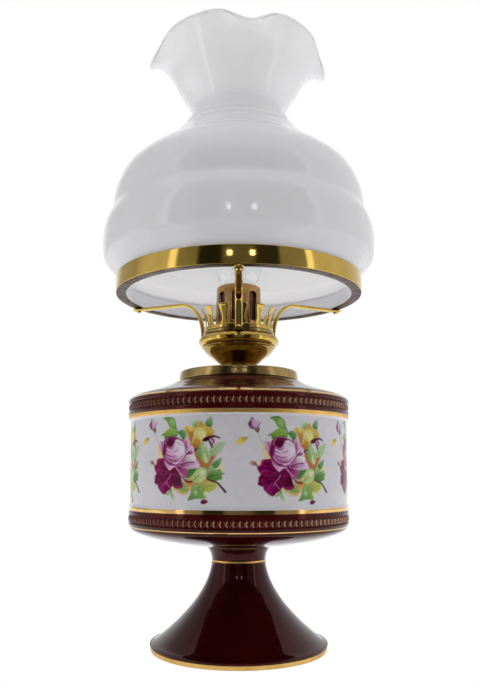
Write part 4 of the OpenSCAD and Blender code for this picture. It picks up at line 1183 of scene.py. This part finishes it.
# ---------------------------------------------------------------- shade carrier
arm_path = spline([(38.9, 298.0), (38.8, 302), (39.6, 308), (41.9, 316.4), (46, 323.8), (52, 329.4), (58.6, 332.3),
                   (66, 333.1), (80, 333.1), (100, 333.1), (112, 333.1), (120.0, 333.1)], 7)
aw = interp_fn([0, 0.02, 0.05, 0.88, 0.935, 0.97, 0.99, 1.0], [5.6, 6.8, 7.1, 7.1, 9.2, 9.4, 8.0, 5.0])
at_ = interp_fn([0, 0.9, 0.96, 1.0], [3.6, 3.6, 3.2, 2.4])
arm_parts = [strip("a", arm_path, aw, at_, az, None, sec=10, power=2.3) for az in (270, 27, 156)]
put(fix_normals(merge("carrier_arms_bent", arm_parts, [M["brass"]])), "shade_carrier", "brass", "carrier_arms")

ring_prof = join([(110.2, 334.8)], [(117.8, 334.8)], arc(118.6, 335.8, 1.0, -80, 0, 6), [(119.6, 343)],
                 arc(118.9, 350.9, 0.7, 0, 90, 6), arc(118.5, 350.9, 0.7, 90, 180, 6), [(117.8, 336.8)],
                 arc(117.0, 336.8, 0.8, 0, -90, 4), [(110.6, 336.0)], [(110.0, 335.6), (110.0, 335.1)])


def ring_mat(a, b):
    r, z = (a[0] + b[0]) / 2, (a[1] + b[1]) / 2
    # the ring's underside and inner face take the darker brass
    return 1 if (z < 335.05 and r > 109) or r < 117.9 else 0


put(fix_normals(lathe("shade_ring_rolled", ring_prof, 384, [M["brass"], M["brass_under"]], closed=True,
                      row_mat=ring_mat)), "shade_carrier", "brass", "shade_ring")

# ---------------------------------------------------------------- shade
SEAT = 336.4
shade_pts = [(116.2, SEAT), (116.4, 344), (116.6, 350.6), (118.4, 353.2), (121.2, 356.8), (126, 362.2), (131.2, 369),
             (132.4, 378), (132.2, 390), (130.2, 401), (127, 408.4), (124.2, 414.6), (123.4, 420), (122.6, 428),
             (120.2, 437.8), (114.8, 450), (107.6, 459), (96.4, 468.2), (85, 476), (73, 486.2), (64.6, 494.4), (62.2, 496.0), (60.4, 498.8), (57.6, 502.6), (55.6, 504.2), (54.4, 507.0), (52.2, 511.0),
             (47.6, 520)]
up_c_ = [(46.6, 525), (52.6, 537), (60.2, 549), (66.4, 563), (73.2, 575.4), (80.4, 587.2)]
out_c = [(46.6, 525), (52.6, 537), (61.4, 549), (69.6, 560.6), (79.4, 568.4), (88.4, 567)]
LIP0, LIPH = 277.0, 12.0


def along(p, t):
    p = np.array(p, float)
    s = np.clip(np.asarray(t, float), 0, 1) * (len(p) - 1)
    i = np.minimum(len(p) - 2, np.floor(s).astype(int))
    f = (s - i)[..., None]
    a, b, c, d = p[np.maximum(i - 1, 0)], p[i], p[i + 1], p[np.minimum(i + 2, len(p) - 1)]
    return 0.5 * (2 * b + (c - a) * f + (2 * a - 5 * b + 4 * c - d) * f * f + (3 * b - a - 3 * c + d) * f**3)


def shade():
    around, mouth_n, wall = 360, 34, 3.0
    low = spline(shade_pts + [(46.6, 525)], 4)[:-1]
    a = np.linspace(0, 360, around, endpoint=False)
    t = np.linspace(0, 1, mouth_n)
    d = (a - LIP0) - 90 * np.round((a - LIP0) / 90)
    Dg, T = np.meshgrid(d, t)
    w = np.exp(-((Dg / (LIPH * (1.9 - 0.9 * T))) ** 2)) * T**1.4
    P = along(up_c_, T) * (1 - w)[..., None] + along(out_c, T) * w[..., None]
    L = np.broadcast_to(low[:, None, :], (len(low), around, 2))
    outer = np.concatenate([L, P], 0)
    g = np.gradient(outer, axis=0)
    g /= np.linalg.norm(g, axis=2)[..., None]
    nrm = np.stack([g[..., 1], -g[..., 0]], -1)
    mid = outer - nrm * wall / 2
    inner = outer - nrm * wall
    # round fire-polished lip
    cap = []
    tip_t = g[-1]
    for ang in (30, 60, 90, 120, 150):
        c, s = math.cos(math.radians(ang)), math.sin(math.radians(ang))
        cap.append(mid[-1] + nrm[-1] * (wall / 2) * c + tip_t * (wall / 2) * s)
    cap = np.array(cap) - tip_t[None] * wall / 2 * 0.9
    outer[-1] -= tip_t * wall / 2 * 0.9
    inner[-1] -= tip_t * wall / 2 * 0.9
    rows = np.concatenate([outer, cap, inner[::-1]], 0)
    rows[..., 1] = np.maximum(rows[..., 1], SEAT)
    ar = np.radians(a)
    v = np.stack([rows[..., 0] * np.cos(ar), rows[..., 0] * np.sin(ar), rows[..., 1]], -1)
    n = rows.shape[0]
    zr = rows[..., 1].mean(1)
    # the band that sits inside the metal ring gets no light from outside, so it takes the glass with no scattering and
    # a stronger painted glow in place of that light
    seat = ((zr + np.roll(zr, -1)) / 2 < 352.0).astype(int)
    return new_object("opal_shade", v.reshape(-1, 3) * MM, grid_faces(n, around, True, True), True,
                      [M["opal"], M["opal_seat"]], np.repeat(seat, around))


put(fix_normals(shade()), "shade", "opal_glass", "shade_glass")

# ---------------------------------------------------------------- bulb
bz, br = 363.8, 22.5
g_out = join([(13.2, 338)], spline([(13.2, 340), (13.2, 342), (13.5, 344.4), (14.5, 346.4)], 4), arc(0, bz, br, -45, 89, 40))
g_in = join([(12.5, 338)], spline([(12.5, 340), (12.5, 342.1), (12.8, 344.7), (13.9, 346.9)], 4),
            arc(0, bz, br - 0.7, -45, 89, 40))
bulb_prof = join([(0, bz + br)], g_out[::-1], g_in, [(0, bz + br - 0.7)])
put(fix_normals(lathe("bulb_globe", bulb_prof, 128, [M["glass"]])), "bulb", "clear_glass", "bulb_glass")

# ---------------------------------------------------------------- CAD nodes that keep their own shape
KEEP = {
    "base_plate": "steel", "felt_pad": "felt", "cord_bush": "dark_plastic", "neck_gasket": "cork",
    "threaded_rod": "fixing_brass", "bottom_washer": "steel", "bottom_nut": "steel", "collar_gasket": "cork",
    "bowl_nut": "fixing_brass", "deck_nut": "fixing_brass", "lampholder_base": "phenolic",
    "lampholder_body": "phenolic", "screw_shell": "fixing_brass", "centre_contact": "fixing_brass",
    "terminal_screws": "fixing_brass", "carrier_hub": "brass_aged", "arm_rivets": "brass", "bulb_cap": "fixing_brass",
    "bulb_insulator": "dark_plastic", "bulb_contact": "steel", "bulb_stem": "glass", "bulb_leads": "steel",
    "bulb_filament": "tungsten",
}
for nm, mk in KEEP.items():
    me = frame["nodes"][nm].data
    me.materials.clear()
    me.materials.append(M[mk])


# ---------------------------------------------------------------- stage and light
def stage():
    m, nt, b = material("studio_floor")
    out = [n for n in nt.nodes if n.type == "OUTPUT_MATERIAL"][0]
    em = node(nt, "ShaderNodeEmission")
    mix = node(nt, "ShaderNodeMixShader")
    lp = node(nt, "ShaderNodeLightPath")
    nt.links.new(lp.outputs["Is Camera Ray"], mix.inputs[0])
    nt.links.new(b.outputs[0], mix.inputs[1])
    nt.links.new(em.outputs[0], mix.inputs[2])
    nt.links.new(mix.outputs[0], out.inputs["Surface"])
    b.inputs["Base Color"].default_value = (0.93, 0.93, 0.93, 1)
    b.inputs["Roughness"].default_value = 0.9
    b.inputs["Specular IOR Level"].default_value = 0.1
    b.inputs["Emission Color"].default_value = (1, 1, 1, 1)
    b.inputs["Emission Strength"].default_value = 0.45
    n = 96
    radii = [0, 0.2, 0.5, 1, 2, 4, 9]
    v, f = [[0, 0, 0]], []
    for r in radii[1:]:
        for k in range(n):
            v.append([r * math.cos(2 * math.pi * k / n), max(-0.26, r * math.sin(2 * math.pi * k / n)), 0])
    for k in range(n):
        f.append((0, 1 + k, 1 + (k + 1) % n))
    for i in range(len(radii) - 2):
        for k in range(n):
            a, b2 = 1 + i * n + k, 1 + i * n + (k + 1) % n
            f.append((a, a + n, b2 + n, b2))
    ob = new_object("studio_floor", v, f, True, [m])


stage()


def world():
    w = bpy.data.worlds.new("studio")
    SC.world = w
    w.use_nodes = True
    nt = w.node_tree
    nt.nodes.clear()
    out = node(nt, "ShaderNodeOutputWorld")
    bg = node(nt, "ShaderNodeBackground")
    bgc = node(nt, "ShaderNodeBackground")
    mixs = node(nt, "ShaderNodeMixShader")
    lp = node(nt, "ShaderNodeLightPath")
    tc = node(nt, "ShaderNodeTexCoord")
    sep = node(nt, "ShaderNodeSeparateXYZ")
    nt.links.new(tc.outputs["Generated"], sep.inputs[0])
    neg = node(nt, "ShaderNodeMath", operation="MULTIPLY")
    neg.inputs[1].default_value = -1.0
    nt.links.new(sep.outputs["Y"], neg.inputs[0])
    at = node(nt, "ShaderNodeMath", operation="ARCTAN2")
    nt.links.new(sep.outputs["X"], at.inputs[0])
    nt.links.new(neg.outputs[0], at.inputs[1])
    dv = node(nt, "ShaderNodeMath", operation="MULTIPLY_ADD")
    dv.inputs[1].default_value = 0.5 / math.pi
    dv.inputs[2].default_value = 0.5
    nt.links.new(at.outputs[0], dv.inputs[0])
    left = [(-180, 0.86), (-150, 0.84), (-136, 0.48), (-108, 0.40), (-96, 0.66), (-66, 0.68), (-64, 1.5), (-58, 1.5),
            (-56, 0.30), (-38, 0.24), (-35, 0.022), (-16, 0.020), (-13, 0.125)]
    right = [(13, 0.125), (16, 0.034), (35, 0.030), (38, 0.26), (62, 0.30), (64, 1.5), (69, 1.5), (71, 0.70),
             (96, 0.74), (112, 0.66), (140, 0.76), (150, 0.84), (180, 0.86)]
    az = ramp(nt, dv.outputs[0], [((a + 180) / 360.0, v) for a, v in left + right])
    # overhead is white all round
    up = mapr(nt, sep.outputs["Z"], 0.72, 0.93, 0.0, 1.0)
    mx = node(nt, "ShaderNodeMix", data_type="RGBA")
    nt.links.new(up, mx.inputs[0])
    nt.links.new(az, mx.inputs[6])
    mx.inputs[7].default_value = (0.86, 0.86, 0.89, 1)
    nt.links.new(mx.outputs[2], bg.inputs["Color"])
    bg.inputs["Strength"].default_value = 1.05
    bgc.inputs["Color"].default_value = (1, 1, 1, 1)
    bgc.inputs["Strength"].default_value = 1.0
    nt.links.new(lp.outputs["Is Camera Ray"], mixs.inputs[0])
    nt.links.new(bg.outputs[0], mixs.inputs[1])
    nt.links.new(bgc.outputs[0], mixs.inputs[2])
    nt.links.new(mixs.outputs[0], out.inputs[0])


world()


def area(name, loc, target, sx, sy, power, color=(1, 1, 1)):
    L = bpy.data.lights.new(name, "AREA")
    L.shape = "RECTANGLE"
    L.size, L.size_y = sx, sy
    L.energy = power
    L.color = color
    ob = bpy.data.objects.new(name, L)
    COL.objects.link(ob)
    ob.location = loc
    d = Vector(target) - Vector(loc)
    ob.rotation_euler = d.to_track_quat("-Z", "Y").to_euler()
    ob.visible_camera = False
    return ob


for nm, az, s in (("strip_left", -7.5, 1), ("strip_right", 11.5, 1)):
    r = math.radians(az)
    area(nm, (1.25 * math.sin(r), -1.25 * math.cos(r), 0.72), (0, 0, 0.36), 0.085, 0.11, 0.17)

# a broad soft fill from the front that the polished surfaces don't mirror
fill = area("fill_front", (0.0, -1.75, 0.85), (0, 0, 0.33), 1.7, 1.3, 5.6, (1.0, 0.985, 0.99))
fill.visible_glossy = False
SC.view_settings.view_transform = "Standard"
SC.view_settings.look = "None"
SC.view_settings.exposure = 0.0
SC.cycles.use_denoising = True
SC.cycles.max_bounces = 12
SC.cycles.transmission_bounces = 12
SC.cycles.caustics_reflective = False
SC.cycles.caustics_refractive = False
